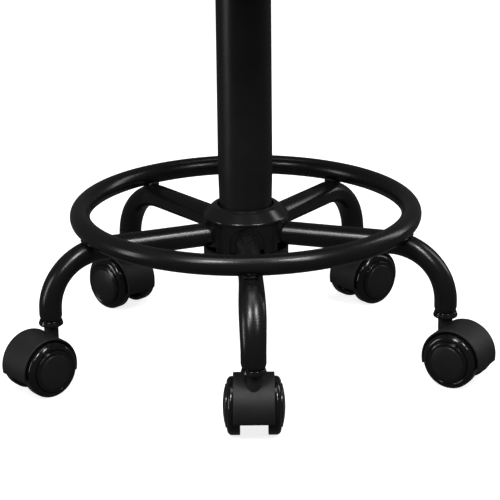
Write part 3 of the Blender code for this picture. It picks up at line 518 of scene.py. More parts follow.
def hub_cap():
    """Rows of (radius, angle, height): the cap's upper outline, then the barrel from the rim to
    the arch line, a rounded edge, and the same again on the inside at the wall's depth."""
    sector = arch_line()
    angle = np.concatenate([sector[:, 0] + azimuth for azimuth in azimuths])
    edge = np.tile(sector[:, 1], len(azimuths))
    even = azimuths[0] + np.linspace(-HALF_SECTOR, math.tau - HALF_SECTOR, len(angle),
                                     endpoint=False)
    slope_a, slope_z = np.gradient(np.unwrap(angle)) * barrel_radius(edge), np.gradient(edge)
    length = np.hypot(slope_a, slope_z) + 1e-9
    into_a, into_z = -slope_z / length, slope_a / length
    rows = []

    def add(radius, turn, height):
        rows.append(np.stack([radius * np.cos(turn), radius * np.sin(turn), height + 0 * turn], -1))

    def barrel(depth, shares):
        for share in shares:
            height = RIM_LOW - 0.3 * MM + (edge + CAP_ROLL * into_z - RIM_LOW + 0.3 * MM) * share
            turn = even + (angle + CAP_ROLL * into_a / barrel_radius(edge) - even) * share
            add(barrel_radius(height) - depth, turn, height)

    top = rounded([(26 * MM, CAP_TOP - CAP_WALL, 0), (26 * MM, CAP_TOP, .7 * MM),
                   (30 * MM, CAP_TOP - .3 * MM, 2.5 * MM),
                   (CAP_RIM - .15 * MM, CAP_TOP - 9.4 * MM, .8 * MM), (CAP_RIM, RIM_LOW, .45 * MM),
                   (BARREL_TOP, RIM_LOW - .3 * MM, 0)], 7, 1.2 * MM)
    for radius, height in top[:-1]:
        add(np.full_like(even, radius), even, height)
    shares = np.linspace(0, 1, 12)
    barrel(0, shares)
    for roll in np.radians([22, 45, 68, 90, 112, 135, 158]):
        out = CAP_ROLL * (1 - math.sin(roll))
        depth = CAP_ROLL * (1 - math.cos(roll))
        if roll >= math.pi / 2:
            depth = CAP_WALL - CAP_ROLL * (1 + math.cos(roll))
        add(barrel_radius(edge) - depth, angle + out * into_a / barrel_radius(edge), edge + out * into_z)
    barrel(CAP_WALL, shares[::-1])
    under = rounded([(BARREL_TOP - CAP_WALL, RIM_LOW, 0),
                     (BARREL_TOP - CAP_WALL, CAP_TOP - 9.6 * MM, .5 * MM),
                     (28.6 * MM, CAP_TOP - CAP_WALL, 1.5 * MM), (26 * MM, CAP_TOP - CAP_WALL, 0)], 5, 2 * MM)
    for radius, height in under[1:-1]:
        add(np.full_like(even, radius), even, height)
    return shell(np.stack(rows), wrap_rows=True)


piece("hub_cap", [hub_cap()], HUB_PLASTIC, "base", ["hub_top_cover"], sharp=50)

# %% [markdown]
# ## The stand tube and the gas lift
# The stand tube is the thick black column. Its lower end has the lift maker's standard taper, so
# it wedges in the hub. A plastic guide sleeve in its mouth carries the chromed pressure cylinder,
# which slides up and down and shows when the seat is raised. All three are lathe shapes.

# %% Stand tube, guide sleeve and pressure cylinder
tube_low, tube_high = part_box("stand_tube")
TUBE = (tube_high.x - tube_low.x) / 2
TAPER_TOP = 188 * MM
TAPER = math.tan(math.radians(1.437))
tube_foot = TUBE - (TAPER_TOP - tube_low.z) * TAPER
piece("stand_column", [turned([
    (TUBE, tube_high.z, .5 * MM), (TUBE, TAPER_TOP, 4 * MM), (tube_foot, tube_low.z, .8 * MM),
    (5.3 * MM, tube_low.z, .3 * MM), (5.3 * MM, tube_low.z + 3 * MM, .3 * MM),
    (tube_foot - 1.9 * MM, tube_low.z + 3 * MM, .8 * MM), (TUBE - 2 * MM, TAPER_TOP, 4 * MM),
    (TUBE - 2 * MM, tube_high.z, .4 * MM)], 144, longest=4 * MM)],
    COLUMN_COAT, "base", ["stand_tube"])

guide_low, guide_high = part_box("guide_sleeve")
piece("guide_bush", [turned([
    (TUBE, guide_high.z, 1.4 * MM), (TUBE, guide_high.z - 4 * MM, .3 * MM),
    (TUBE - 2.3 * MM, guide_high.z - 4 * MM, .2 * MM),
    (TUBE - 2.3 * MM, guide_low.z, .5 * MM), (14.3 * MM, guide_low.z, .5 * MM),
    (14.3 * MM, guide_high.z, .8 * MM)], 112)],
    HUB_PLASTIC, "base", ["guide_sleeve"])

lift_low, lift_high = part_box("pressure_cylinder")
LIFT = 14 * MM
socket_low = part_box("taper_socket")[0].z
lift_end = LIFT - (lift_high.z - socket_low) * TAPER
piece("gas_cylinder", [turned([
    (3.8 * MM, lift_high.z, .2 * MM), (lift_end, lift_high.z, 1.0 * MM), (LIFT, socket_low, 3 * MM),
    (LIFT, lift_low.z, 1.2 * MM), (5.3 * MM, lift_low.z, .3 * MM), (5.3 * MM, lift_low.z + 4 * MM, .3 * MM),
    (12.5 * MM, lift_low.z + 4 * MM, .5 * MM), (12.5 * MM, socket_low, 2 * MM),
    (lift_end - 1.5 * MM, lift_high.z - 4 * MM, .5 * MM), (3.8 * MM, lift_high.z - 4 * MM, .2 * MM)], 112,
    longest=6 * MM)],
    CHROME, "seat", ["pressure_cylinder"])

# %% [markdown]
# ## The casters
# Each caster is made once, upright at the origin: X points the way the wheels trail, Y lies along
# the axle and Z is the stem. It is then carried to its leg and turned the way that caster stands.
# The hood is a thin curved wall over both wheels; its section is a long rounded rectangle carried
# round the axle, and thinned to a round lip at both ends. A web between the wheels holds the
# axle, and a neck takes the stem.

# %% Caster sizes and places
AXLE_HEIGHT = box_centre("axle_front").z
axle_offset = box_centre("axle_front") - box_centre("stem_front")
TRAIL = Vector((axle_offset.x, axle_offset.y)).length
HOOD_OUTER = 29.1 * MM
HOOD_WALL = 1.8 * MM
HOOD_HALF = 18 * MM
HOOD_TAIL, HOOD_LEAD = math.radians(-14), math.radians(194.5)
NECK = 6.6 * MM
NECK_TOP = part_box("hood_front")[1].z
WEB_HALF = 10.25 * MM
WEB_LOW = 15.4 * MM
WHEEL = (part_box("left_wheel_front")[1].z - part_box("left_wheel_front")[0].z) / 2
WHEEL_NEAR, WHEEL_FAR = 12.2 * MM, 23.7 * MM
CAP = 19.3 * MM
CAP_STEP = 15.7 * MM
CAP_EDGE = 1.0 * MM
DOME = 2.5 * MM


def caster_place(name):
    """Where a caster stands: a shift to its stem and a turn to the way its axle lies from it."""
    stem, axle = box_centre("stem_" + name), box_centre("axle_" + name)
    return about_z(math.atan2(axle.y - stem.y, axle.x - stem.x), (stem.x, stem.y, 0))


print(f"caster: trail {TRAIL / MM:.1f} mm, wheel {2 * WHEEL / MM:.1f} mm")


# %% Hood, web and neck
def hood_wall():
    """Section (depth, y) carried round the axle: point = axle + (outer - depth)(cos a, sin a). The
    wall's thickness follows a quarter circle over the last millimetre of the arc."""
    section = rounded([(0, -HOOD_HALF, .7 * MM), (0, HOOD_HALF, .7 * MM), (HOOD_WALL, HOOD_HALF, .5 * MM),
                       (HOOD_WALL, -HOOD_HALF, .5 * MM)], 6, 3 * MM, closed=True)
    lip = 1.1 * MM / HOOD_OUTER
    ends = lip * (1 - np.cos(np.linspace(0, math.pi / 2, 7)))
    angle = np.concatenate([HOOD_TAIL + ends, np.linspace(HOOD_TAIL + lip, HOOD_LEAD - lip, 74)[1:-1],
                            HOOD_LEAD - ends[::-1]])
    inward = np.minimum(angle - HOOD_TAIL, HOOD_LEAD - angle)
    full = np.sqrt(np.clip(1 - np.clip(1 - inward / lip, 0, 1) ** 2, 0, 1))[:, None]
    depth, across = section[None, :, 0], section[None, :, 1]
    radius = HOOD_OUTER - HOOD_WALL / 2 - (depth - HOOD_WALL / 2) * full
    across = across - np.sign(across) * 0.5 * MM * (1 - full)
    a = angle[:, None]
    return shell(np.stack([TRAIL + radius * np.cos(a), across, AXLE_HEIGHT + radius * np.sin(a)], -1))


def pillow(outline, half, edge):
    """A flat outline in XZ given thickness along Y: rows step in towards the outline's middle as
    edge(1 - cos a), while y goes out as half - edge(1 - sin a), and end in a point on each side."""
    middle = outline.mean(0)
    reach = np.linalg.norm(outline - middle, axis=1).mean()
    a = np.linspace(0, math.pi / 2, 6)
    shrink = np.concatenate([1 - edge * (1 - np.cos(a)) / reach, [0.6, 0.25, 0.0]])
    out = np.concatenate([half - edge * (1 - np.sin(a)), [half] * 3])
    shrink, out = np.concatenate([shrink[::-1], shrink]), np.concatenate([-out[::-1], out])
    flat = middle + (outline - middle) * shrink[:, None, None]
    return shell(np.stack([flat[..., 0], out[:, None] + 0 * flat[..., 0], flat[..., 1]], -1))


def web():
    """Outline: under the hood's roof from 8 to 186 degrees, then back on a small arc about the axle."""
    roof, sill = np.radians(np.linspace(8, 186, 44)), np.radians(np.linspace(215, 338, 26))
    angle = np.concatenate([roof, sill])
    radius = np.concatenate([np.full_like(roof, HOOD_OUTER - HOOD_WALL / 2), np.full_like(sill, WEB_LOW)])
    outline = np.column_stack([TRAIL + radius * np.cos(angle), AXLE_HEIGHT + radius * np.sin(angle)])
    return pillow(outline, WEB_HALF, 0.8 * MM)


def neck():
    """The round post that the stem turns in, open at the top for it."""
    low = AXLE_HEIGHT - 4 * MM
    return turned([(0, low, 0), (NECK, low, 1 * MM), (NECK, NECK_TOP, .9 * MM), (4.3 * MM, NECK_TOP, .4 * MM),
                   (4.3 * MM, NECK_TOP - 12 * MM, .3 * MM), (0, NECK_TOP - 12 * MM, 0)], 56, wrap=False)


hood_parts = [hood_wall(), web(), neck()]
for name in LEGS:
    spot = caster_place(name)
    piece("caster_hood_" + name, [moved(part, spot) for part in hood_parts], HOOD_PLASTIC, "caster_" + name,
          ["hood_" + name], sharp=45)

# %% [markdown]
# ## The wheels
# A wheel is a lathe shape with a flat tread next to the web, a wide polished shoulder, a groove,
# and a domed side cap with a shallow ring moulded in it. The back is hollow round a boss. The
# cap is satin inside its ring and everything else is polished, so the faces get one of two
# finishes by their distance from the axle.


# %% Wheels
def wheel():
    """Outline from the cap's middle out: dome z = far + edge + rise (1 - (r / cap)^2) with a moulded
    ring, a fine joint, a shoulder that is a quarter of an ellipse, the tread, and in behind to the
    boss."""
    near, far = WHEEL_NEAR, WHEEL_FAR
    out = np.array([0, 4, 8, 12, 15.2]) * MM
    dome = [(r, far + CAP_EDGE + DOME * (1 - (r / CAP) ** 2), 6 * MM * (r > 0)) for r in out]
    step = far + CAP_EDGE + DOME * (1 - (CAP_STEP / CAP) ** 2)
    ring = [(CAP_STEP - .1 * MM, step - .30 * MM, .2 * MM), (CAP_STEP + .4 * MM, step - .15 * MM, .2 * MM),
            (CAP - .2 * MM, far + CAP_EDGE, .6 * MM), (CAP, far - .8 * MM, .15 * MM),
            (CAP + .5 * MM, far - .8 * MM, .15 * MM)]
    a = np.linspace(0, math.pi / 2, 13)[1:]
    radius, height = CAP + .7 * MM, far - 4.4 * MM
    shoulder = [(radius + (WHEEL - radius) * math.sin(t), height + 4.4 * MM * math.cos(t), 0) for t in a]
    back = [(WHEEL, near, .7 * MM), (WHEEL - 3.2 * MM, near, .6 * MM),
            (WHEEL - 4.2 * MM, far - 4 * MM, .8 * MM),
            (7.5 * MM, far - 4 * MM, .8 * MM), (7.2 * MM, near, .5 * MM), (3.3 * MM, near, .3 * MM),
            (3.3 * MM, far - 1.5 * MM, .2 * MM), (0, far - 1.5 * MM, 0)]
    return turned(dome + ring + shoulder + back, 96, wrap=False, steps=5, longest=1.6 * MM)


one_wheel = wheel()
for name in LEGS:
    hub = caster_place(name) @ Matrix.Translation((TRAIL, 0, AXLE_HEIGHT))
    for side, quarter in (("left", -math.pi / 2), ("right", math.pi / 2)):
        spot = hub @ Matrix.Rotation(quarter, 4, "X")
        made = piece(f"{side}_castor_wheel_{name}", [moved(one_wheel, spot)], [RIM_PLASTIC, CAP_PLASTIC],
                     f"{side}_wheel_{name}", [f"{side}_wheel_{name}"], sharp=50)
        centres = np.zeros(3 * len(made.data.polygons))
        made.data.polygons.foreach_get("center", centres)
        back_to_wheel = np.array(spot.inverted())
        local = centres.reshape(-1, 3) @ back_to_wheel[:3, :3].T + back_to_wheel[:3, 3]
        on_cap = (np.hypot(local[:, 0], local[:, 1]) < CAP_STEP) & (local[:, 2] > WHEEL_FAR - 0.2 * MM)
        made.data.polygons.foreach_set("material_index", on_cap.astype(np.int32))

# %% [markdown]
# ## Collars
# The stem's socket is pressed into the leg's foot and ends in a moulded collar, glossy and
# slightly flared. It is the bright little ring between the matte leg and the matte hood.

# %% Collars and stems
for name in LEGS:
    low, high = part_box("socket_" + name)
    sleeve = 8.3 * MM
    top = low.z + 5.6 * MM
    collar = turned([(sleeve - .8 * MM, high.z, .3 * MM), (sleeve, high.z - 1 * MM, .4 * MM),
                     (sleeve, top, .2 * MM),
                     (10.3 * MM, top, .7 * MM), (10.5 * MM, top - 1.5 * MM, .5 * MM),
                     (11.3 * MM, low.z + 2.6 * MM, 1.1 * MM),
                     (11.0 * MM, low.z + .9 * MM, .7 * MM), (9.4 * MM, low.z, .8 * MM),
                     (5.8 * MM, low.z, .3 * MM),
                     (5.8 * MM, high.z, .3 * MM)], 72, longest=1.5 * MM, steps=7)
    piece("collar_" + name, [moved(collar, caster_place(name))], RIM_PLASTIC, "base",
          ["socket_" + name])

# %% [markdown]
# ## The seat's mechanism
# The seat is bolted to a pressed steel pan. Its outline is a circle at the middle, a rounded
# square in the pan and a rounded rectangle at the flange, which is one closed line whose half
# length, half width and corner radius change from row to row. The lever comes out through a slot
# and rocks on a pin, so its inner end presses the lift's button.


# %% Pan with its slot
def ring_line(half_x, half_y, corner, per_corner=14, per_side=8):
    """A rounded rectangle: straight sides between four quarter circles of the corner radius."""
    quarter = np.linspace(0, math.pi / 2, per_corner)
    points = []
    for turn, (sx, sy) in enumerate(((1, 1), (-1, 1), (-1, -1), (1, -1))):
        a = quarter + turn * math.pi / 2
        points.append(np.column_stack([sx * (half_x - corner) + corner * np.cos(a),
                                       sy * (half_y - corner) + corner * np.sin(a)]))
    share = np.linspace(0, 1, per_side + 2)[1:-1, None]
    sides = [points[i][-1] * (1 - share) + points[(i + 1) % 4][0] * share for i in range(4)]
    return np.vstack([part for pair in zip(points, sides) for part in pair])


def level(line, height):
    """A flat line lifted to one height."""
    return np.column_stack([line, np.full(len(line), height)])


pan_low, pan_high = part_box("seat_plate")
PAN_WALL = 2.5 * MM
half_flange = ((pan_high.x - pan_low.x) / 2, (pan_high.y - pan_low.y) / 2)


def square(half, corner, height):
    """A row as long as it is wide."""
    return half, half, corner, height


def pan():
    """Rows go out over the underside, down the flange's edge and back in over the upper side."""
    low, high = pan_low.z, pan_high.z
    hole = 14.8 * MM
    rows = [square(hole, hole, low + PAN_WALL), square(hole, hole, low + .3 * MM),
            square(hole + .3 * MM, hole, low)]
    rows += [square(r, min(r, 12 * MM) + max(0, 26 * MM - r) * .5, low)
             for r in (20 * MM, 28 * MM, 36 * MM, 43 * MM)]
    a = np.linspace(0, math.pi / 2, 6)
    rows += [square(44 * MM + 5 * MM * math.sin(t), 12 * MM, low + 5 * MM * (1 - math.cos(t))) for t in a]
    rows += [square(50 * MM, 12 * MM, low + 15 * MM), square(50 * MM, 12 * MM, high - PAN_WALL - 4 * MM)]
    rows += [square(50 * MM + 4 * MM * (1 - math.cos(t)), 13 * MM,
                    high - PAN_WALL - 4 * MM * (1 - math.sin(t))) for t in a[1:]]
    hx, hy = half_flange
    rows += [(62 * MM, 60 * MM, 14 * MM, high - PAN_WALL),
             (hx - .5 * MM, hy - .5 * MM, 15 * MM, high - PAN_WALL),
             (hx, hy, 15.5 * MM, high - PAN_WALL + .5 * MM), (hx, hy, 15.5 * MM, high - .5 * MM),
             (hx - .5 * MM, hy - .5 * MM, 15 * MM, high), (58 * MM, 57 * MM, 14 * MM, high)]
    inner = 50 * MM - PAN_WALL
    rows += [square(inner + 3 * MM * math.cos(t), 11 * MM, high - 3 * MM * (1 - math.sin(t)) - .01 * MM)
             for t in a[::-1]]
    rows += [square(inner, 10 * MM, low + 9 * MM), square(46 * MM, 9 * MM, low + PAN_WALL + 1 * MM),
             square(43 * MM, 9 * MM, low + PAN_WALL), square(28 * MM, 13 * MM, low + PAN_WALL)]
    return shell(np.stack([level(ring_line(x, y, r), z) for x, y, r, z in rows]), wrap_rows=True)


def solid_plate(lo, hi, edge):
    """A small block with rounded edges: rounded outlines that shrink towards both faces."""
    lo, hi = np.array(lo), np.array(hi)
    half, middle = (hi - lo) / 2, (hi + lo) / 2
    a = np.linspace(0, math.pi / 2, 5)
    narrow = half[:2].min()
    step_in, step_up = edge * (1 - np.cos(a)), edge * (1 - np.sin(a))
    inset = np.concatenate([[narrow], step_in[::-1], step_in, [narrow]])
    height = np.concatenate([[-half[2]], -half[2] + step_up[::-1], half[2] - step_up, [half[2]]])
    rows = []
    for cut, z in zip(inset, height):
        x, y = max(half[0] - cut, 1e-6), max(half[1] - cut, 1e-6)
        corner = min(x, y) * .9999 if cut >= narrow else min(edge, x, y)
        rows.append(level(ring_line(x, y, corner), z))
    return shell(np.stack(rows) + middle)


lever_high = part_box("lever_rod")[1]
LEVER_PIVOT = 45 * MM
LEVER = 4 * MM
LEVER_HEIGHT = lever_high.z - LEVER
EAR_OFFSET = 10.5 * MM
EAR_HALF = 2 * MM
ear_end = 50 * MM - PAN_WALL + .4 * MM
ears = [solid_plate((39 * MM, y - EAR_HALF, pan_low.z + 1.5 * MM),
                    (ear_end, y + EAR_HALF, LEVER_HEIGHT + 5 * MM),
                    .5 * MM) for y in (-EAR_OFFSET, EAR_OFFSET)]
plate = piece("seat_pan", [pan()] + ears, POWDER, "seat", ["seat_plate"])

slot_points, slot_quads = pillow(ring_line(5.6 * MM, 8 * MM, 5.5 * MM), 10 * MM, .1 * MM)
slot_points = slot_points @ np.array([[0, 1, 0], [-1, 0, 0], [0, 0, 1]]) + [50 * MM, 0, LEVER_HEIGHT - 1 * MM]
cutter_mesh = meshed("slot_cutter", (slot_points, slot_quads))
work = bmesh.new()
work.from_mesh(cutter_mesh)
bmesh.ops.remove_doubles(work, verts=work.verts, dist=1e-6)
bmesh.ops.recalc_face_normals(work, faces=work.faces)
work.to_mesh(cutter_mesh)
work.free()
cutter = placed("slot_cutter", cutter_mesh)
cut = plate.modifiers.new("slot", "BOOLEAN")
cut.operation, cut.object, cut.solver = "DIFFERENCE", cutter, "EXACT"
bpy.context.view_layer.update()
opened = modified(plate)
plate.modifiers.clear()
plate.data = opened
bpy.data.objects.remove(cutter)
print("pan with its slot:", len(opened.polygons), "faces")

# %% Taper socket and bolts
socket_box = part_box("taper_socket")
piece("seat_socket", [turned([
    (22.5 * MM, socket_box[1].z, .8 * MM), (20 * MM, socket_box[1].z - 3.5 * MM, 2.5 * MM),
    (20 * MM, socket_low, 1.0 * MM),
    (14.35 * MM, socket_low, .6 * MM), (13.35 * MM, socket_box[1].z, .2 * MM)], 96)],
    POWDER, "seat", ["taper_socket"])


def bolt(low, high):
    """A bolt head down: the shank is round, and the head's radius at angle a is
    flat / cos((a mod 60) - 30), a hexagon, with its corners turned down to a circle."""
    outline = rounded([(0, high, 0), (3 * MM, high, .6 * MM), (3 * MM, low + 3.5 * MM, .2 * MM),
                       (6.3 * MM, low + 3.5 * MM, .2 * MM),
                       (6.3 * MM, low + 3.1 * MM, .2 * MM), (5.5 * MM, low + 3.0 * MM, .1 * MM),
                       (5.5 * MM, low + .7 * MM, .2 * MM),
                       (4.6 * MM, low, .3 * MM), (0, low, 0)], 4, 1 * MM)
    a = np.linspace(0, math.tau, 72, endpoint=False)[None, :]
    hexagon = 0.87 / np.cos((a % (math.pi / 3)) - math.pi / 6)
    radius, height = outline[:, :1], outline[:, 1:]
    on_head = (height < low + 3.05 * MM) & (radius > 4.7 * MM)
    radius = radius * np.where(on_head, hexagon, 1.0)
    return swept(radius, a, height)


for number in range(1, 5):
    lo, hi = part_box(f"seat_bolt_{number}")
    spot = box_centre(f"seat_bolt_{number}")
    piece(f"hex_bolt_{number}", [moved(bolt(lo.z, hi.z), Matrix.Translation((spot.x, spot.y, 0)))],
          ZINC, "seat", [f"seat_bolt_{number}"], sharp=30)

# %% Lever and grip
LEVER_SLOPE = math.radians(10)
lever_end = 178 * MM
knee = 58 * MM


def lever_line():
    """Level to the knee, a curve of 14 mm radius, then a straight slope; both ends are domed."""
    bend = 14 * MM
    turn = np.linspace(0, LEVER_SLOPE, 10)
    start = knee - bend * math.tan(LEVER_SLOPE / 2)
    curve = np.column_stack([start + bend * np.sin(turn), LEVER_HEIGHT - bend * (1 - np.cos(turn))])
    dome = LEVER * (1 - np.cos(np.linspace(0, math.pi / 2, 7)[:-1]))
    inner = np.concatenate([-12 * MM + dome, np.linspace(-8 * MM, start, 16)[:-1]])
    length = (lever_end - curve[-1, 0]) / math.cos(LEVER_SLOPE)
    away = np.concatenate([np.linspace(0, length - LEVER, 24)[1:], length - dome[::-1]])
    outer = curve[-1] + np.outer(away, [math.cos(LEVER_SLOPE), -math.sin(LEVER_SLOPE)])
    points = np.vstack([np.column_stack([inner, np.full_like(inner, LEVER_HEIGHT)]), curve, outer])
    heading = -np.concatenate([0 * inner, turn, np.full(len(outer), LEVER_SLOPE)])
    to_end = np.minimum(np.concatenate([inner + 12 * MM, np.full(len(points) - len(inner), 1.0)]),
                        np.concatenate([np.full(len(points) - len(outer), 1.0), length - away]))
    radius = LEVER * np.sqrt(np.clip(1 - np.clip(1 - to_end / LEVER, 0, 1) ** 2, 0, 1))
    return points, heading, radius


points, heading, radius = lever_line()
pin = moved(turned([(0, 14.5 * MM, 0), (2.5 * MM, 14.5 * MM, .5 * MM), (2.5 * MM, -14.5 * MM, .5 * MM),
                    (0, -14.5 * MM, 0)], 32, wrap=False),
            Matrix.Translation((LEVER_PIVOT, 0, LEVER_HEIGHT)) @ Matrix.Rotation(math.pi / 2, 4, "X"))
piece("height_lever_rod", [shell(carried(points, heading, radius, radius, 28)), pin], CHROME, "lever",
      ["lever_rod"])


def grip():
    """A moulded sleeve, closed at its end, a little wider towards it, with five shallow grooves."""
    length, wide = 62 * MM, 7.5 * MM
    corners = [(0, 4 * MM, 0), (wide - 2.5 * MM, 4 * MM, 1.5 * MM), (wide, 1 * MM, 1.8 * MM)]
    for i in range(5):
        z = -(9 + 7 * i) * MM
        corners += [(wide - .3 * MM, z + 1.2 * MM, .4 * MM), (wide - .9 * MM, z, .5 * MM),
                    (wide - .35 * MM, z - 1.2 * MM, .4 * MM)]
    corners += [(wide - 1 * MM, 5 * MM - length, 2 * MM), (5.6 * MM, -length, 1 * MM),
                (4.3 * MM, -length, .3 * MM),
                (4.3 * MM, GAP, .3 * MM), (0, GAP, 0)]
    return turned(corners, 64, wrap=False, longest=1.2 * MM)


end_point = Vector((lever_end, 0, LEVER_HEIGHT - (lever_end - knee) * math.tan(LEVER_SLOPE)))
on_lever = Matrix.Translation(end_point) @ Matrix.Rotation(math.pi / 2 + LEVER_SLOPE, 4, "Y")
piece("lever_handle", [moved(grip(), on_lever)],
      RIM_PLASTIC, "lever", ["lever_grip"])

# %% [markdown]
# ## The seat
# The seat is a plywood disc with a foam pad under a vinyl cover. The cover is cut as a round top
# and a side band, sewn together with piping, pulled down over the board's edge and stapled
# underneath. The pad is inflated as cloth: a closed shape a little too small swells under
# pressure while its base and its seam are held, which gives the crown of a real stuffed pad.
# The piping and the gathered hem are made afterwards, because the voxel remesh would erase them.

# %% Vinyl, plywood and foam
def vinyl():
    """Grained vinyl: cells for the pebbles, a finer noise between them, and a wide drift."""
    material, tree, shader = blank("black_vinyl")
    place = node(tree, "TexCoord").outputs["Object"]
    drift = noise(tree, place, 22, 4.0, 0.6)
    cells = node(tree, "TexVoronoi", [("Vector", place), ("Scale", 760.0)],
                 feature="SMOOTH_F1").outputs["Distance"]
    fine = noise(tree, place, 2400, 2.0)
    height = node(tree, "Math", [(0, cells), (1, fine)], operation="MULTIPLY_ADD")
    height.inputs[2].default_value = 0.15
    tone = tinted(tree, between(tree, drift, 0, 1), (.011, .011, .012), (.017, .017, .018))
    rough = node(tree, "Math", [(0, between(tree, drift, .40, .50)),
                                (1, between(tree, cells, -.05, .08, 0.1, 0.6))], operation="ADD")
    dressed(tree, shader, tone, rough.outputs["Value"], .45, .0003, height.outputs["Value"])
    return material


def plywood(low, high, plies=9):
    """Layers by height: even plies run with the grain and odd ones across it, so on the edge they
    alternate light and dark. The grain is a noise stretched along X."""
    material, tree, shader = blank("birch_plywood")
    place = node(tree, "TexCoord").outputs["Object"]
    apart = node(tree, "SeparateXYZ", [("Vector", place)]).outputs
    layer = node(tree, "MapRange", [("Value", apart["Z"]), ("From Min", low), ("From Max", high),
                                    ("To Min", 0.0), ("To Max", plies * math.pi)])
    stripe = node(tree, "Math", [(0, layer.outputs["Result"])], operation="SINE").outputs["Value"]
    stripe = between(tree, stripe, 0, 1, -0.25, 0.25)
    long = node(tree, "Mapping", [("Vector", place), ("Scale", (6.0, 90.0, 90.0))]).outputs["Vector"]
    grain = noise(tree, long, 6.0, 6.0, 0.65)
    wood = tinted(tree, between(tree, grain, 0, 1), (.36, .23, .12), (.62, .45, .27))
    shade = node(tree, "Mix", [("Factor", stripe), ("A", wood), ("B", (.30, .18, .09, 1))], data_type="RGBA")
    soft = node(tree, "Mix", [("Factor", 0.55), ("A", wood), ("B", shade.outputs["Result"])],
                data_type="RGBA").outputs["Result"]
    dressed(tree, shader, soft, between(tree, grain, .60, .74), .3, .0003, grain)
    return material


board_low, board_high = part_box("seat_board")
BOARD = (board_high.x - board_low.x) / 2
VINYL = vinyl()
PLY = plywood(board_low.z, board_high.z)
piece("plywood_disc", [turned([
    (0, board_high.z, 0), (BOARD, board_high.z, 1.5 * MM), (BOARD, board_low.z, 1.5 * MM),
    (0, board_low.z, 0)],
    160, wrap=False, longest=4 * MM)], PLY, "seat", ["seat_board"])

# %% The pad
cover_low, cover_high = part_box("seat_cover")
SEAT = (cover_high.x - cover_low.x) / 2
SEAT_TOP = cover_high.z
PAD_LOW = board_high.z + 0.4 * MM
SEAM_HEIGHT = SEAT_TOP - 17 * MM
SEAM = SEAT - 4.2 * MM


def pad_start():
    """The pad before it swells: a flat disc with soft shoulders, pinched a little at the seam."""
    return turned([(0, SEAT_TOP - 8 * MM, 0), (SEAT - 42 * MM, SEAT_TOP - 9 * MM, 20 * MM),
                   (SEAM - 10 * MM, SEAT_TOP - 12 * MM, 8 * MM),
                   (SEAM, SEAM_HEIGHT, 1 * MM), (SEAM - 1 * MM, SEAM_HEIGHT - 14 * MM, 6 * MM),
                   (SEAM - .5 * MM, PAD_LOW, 4 * MM), (0, PAD_LOW, 0)],
                  144, wrap=False, longest=4 * MM)


def inflated(name, part, voxel, pressure, held, cap):
    """Remesh the closed shape, inflate it as cloth for twenty frames while held(points) marks what
    stays, keep every point within cap of where it began, and smooth it once."""
    item = placed(name, meshed(name, part))
    remesh = item.modifiers.new("remesh", "REMESH")
    remesh.mode, remesh.voxel_size = "VOXEL", voxel
    bpy.context.view_layer.update()
    even = modified(item)
    item.modifiers.clear()
    item.data = even
    start = np.zeros(3 * len(even.vertices))
    even.vertices.foreach_get("co", start)
    start = start.reshape(-1, 3)
    group = item.vertex_groups.new(name="held")
    weights = held(start)
    for weight in np.unique(weights[weights > 0]):
        group.add(np.flatnonzero(weights == weight).tolist(), float(weight), "REPLACE")
    cloth = item.modifiers.new("cloth", "CLOTH")
    cloth.settings.use_pressure = True
    cloth.settings.uniform_pressure_force = pressure
    cloth.settings.tension_stiffness = cloth.settings.compression_stiffness = 12
    cloth.settings.bending_stiffness = 1.2
    cloth.settings.effector_weights.gravity = 0
    cloth.settings.vertex_group_mass = "held"
    cloth.point_cache.frame_start, cloth.point_cache.frame_end = 1, 20
    for step in range(1, 21):
        bpy.context.scene.frame_set(step)
    swollen = modified(item)
    item.modifiers.clear()
    end = np.zeros(3 * len(swollen.vertices))
    swollen.vertices.foreach_get("co", end)
    shift = end.reshape(-1, 3) - start
    far = np.linalg.norm(shift, axis=1)[:, None]
    print(f"{name} swelled by up to {far.max() / MM:.1f} mm")
    start = start + shift * np.minimum(1, cap / np.maximum(far, 1e-9))
    bpy.context.scene.frame_set(1)
    even.vertices.foreach_set("co", start.ravel())
    even.update()
    smooth = item.modifiers.new("smooth", "SUBSURF")
    smooth.levels = smooth.render_levels = 1
    bpy.context.view_layer.update()
    final = modified(item)
    item.modifiers.clear()
    item.vertex_groups.clear()
    item.data = final
    final.shade_smooth()
    return item


def held_points(points):
    """The base is fast to the board; the seam is held by its stitches."""
    reach = np.hypot(points[:, 0], points[:, 1])
    base = points[:, 2] < PAD_LOW + 2 * MM
    seam = (np.abs(points[:, 2] - SEAM_HEIGHT) < 3 * MM) & (reach > SEAM - 6 * MM)
    return np.where(base | seam, 1.0, 0.0)


pad = inflated("seat_pad", pad_start(), 5 * MM, 4.0, held_points, 24 * MM)
pad.data.materials.append(VINYL)
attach(pad, "seat")
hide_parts("seat_foam")
corner = np.array([v for v in pad.bound_box])
print("pad from", corner.min(0).round(4), "to", corner.max(0).round(4))


# %% Piping and hem
def cord_ring(radius, height, thickness, waves, sway, around=360, sides=16):
    """A round cord on a circle, its radius and height swaying by a few tenths of a millimetre."""
    a = np.linspace(0, math.tau, around, endpoint=False)
    reach = radius + sway * np.sin(waves * a)
    line = np.column_stack([reach * np.cos(a), reach * np.sin(a),
                            height + sway * np.sin(waves * 0.5 * a + 1) * 0.6])
    return bead(line, np.full(around, thickness), sides)


piece("seat_piping", [cord_ring(SEAM + 1.2 * MM, SEAM_HEIGHT, 2.3 * MM, 14, .25 * MM),
                      cord_ring(SEAM + 1.2 * MM, PAD_LOW + 1.5 * MM, 2.0 * MM, 12, .2 * MM)],
      VINYL, "seat")


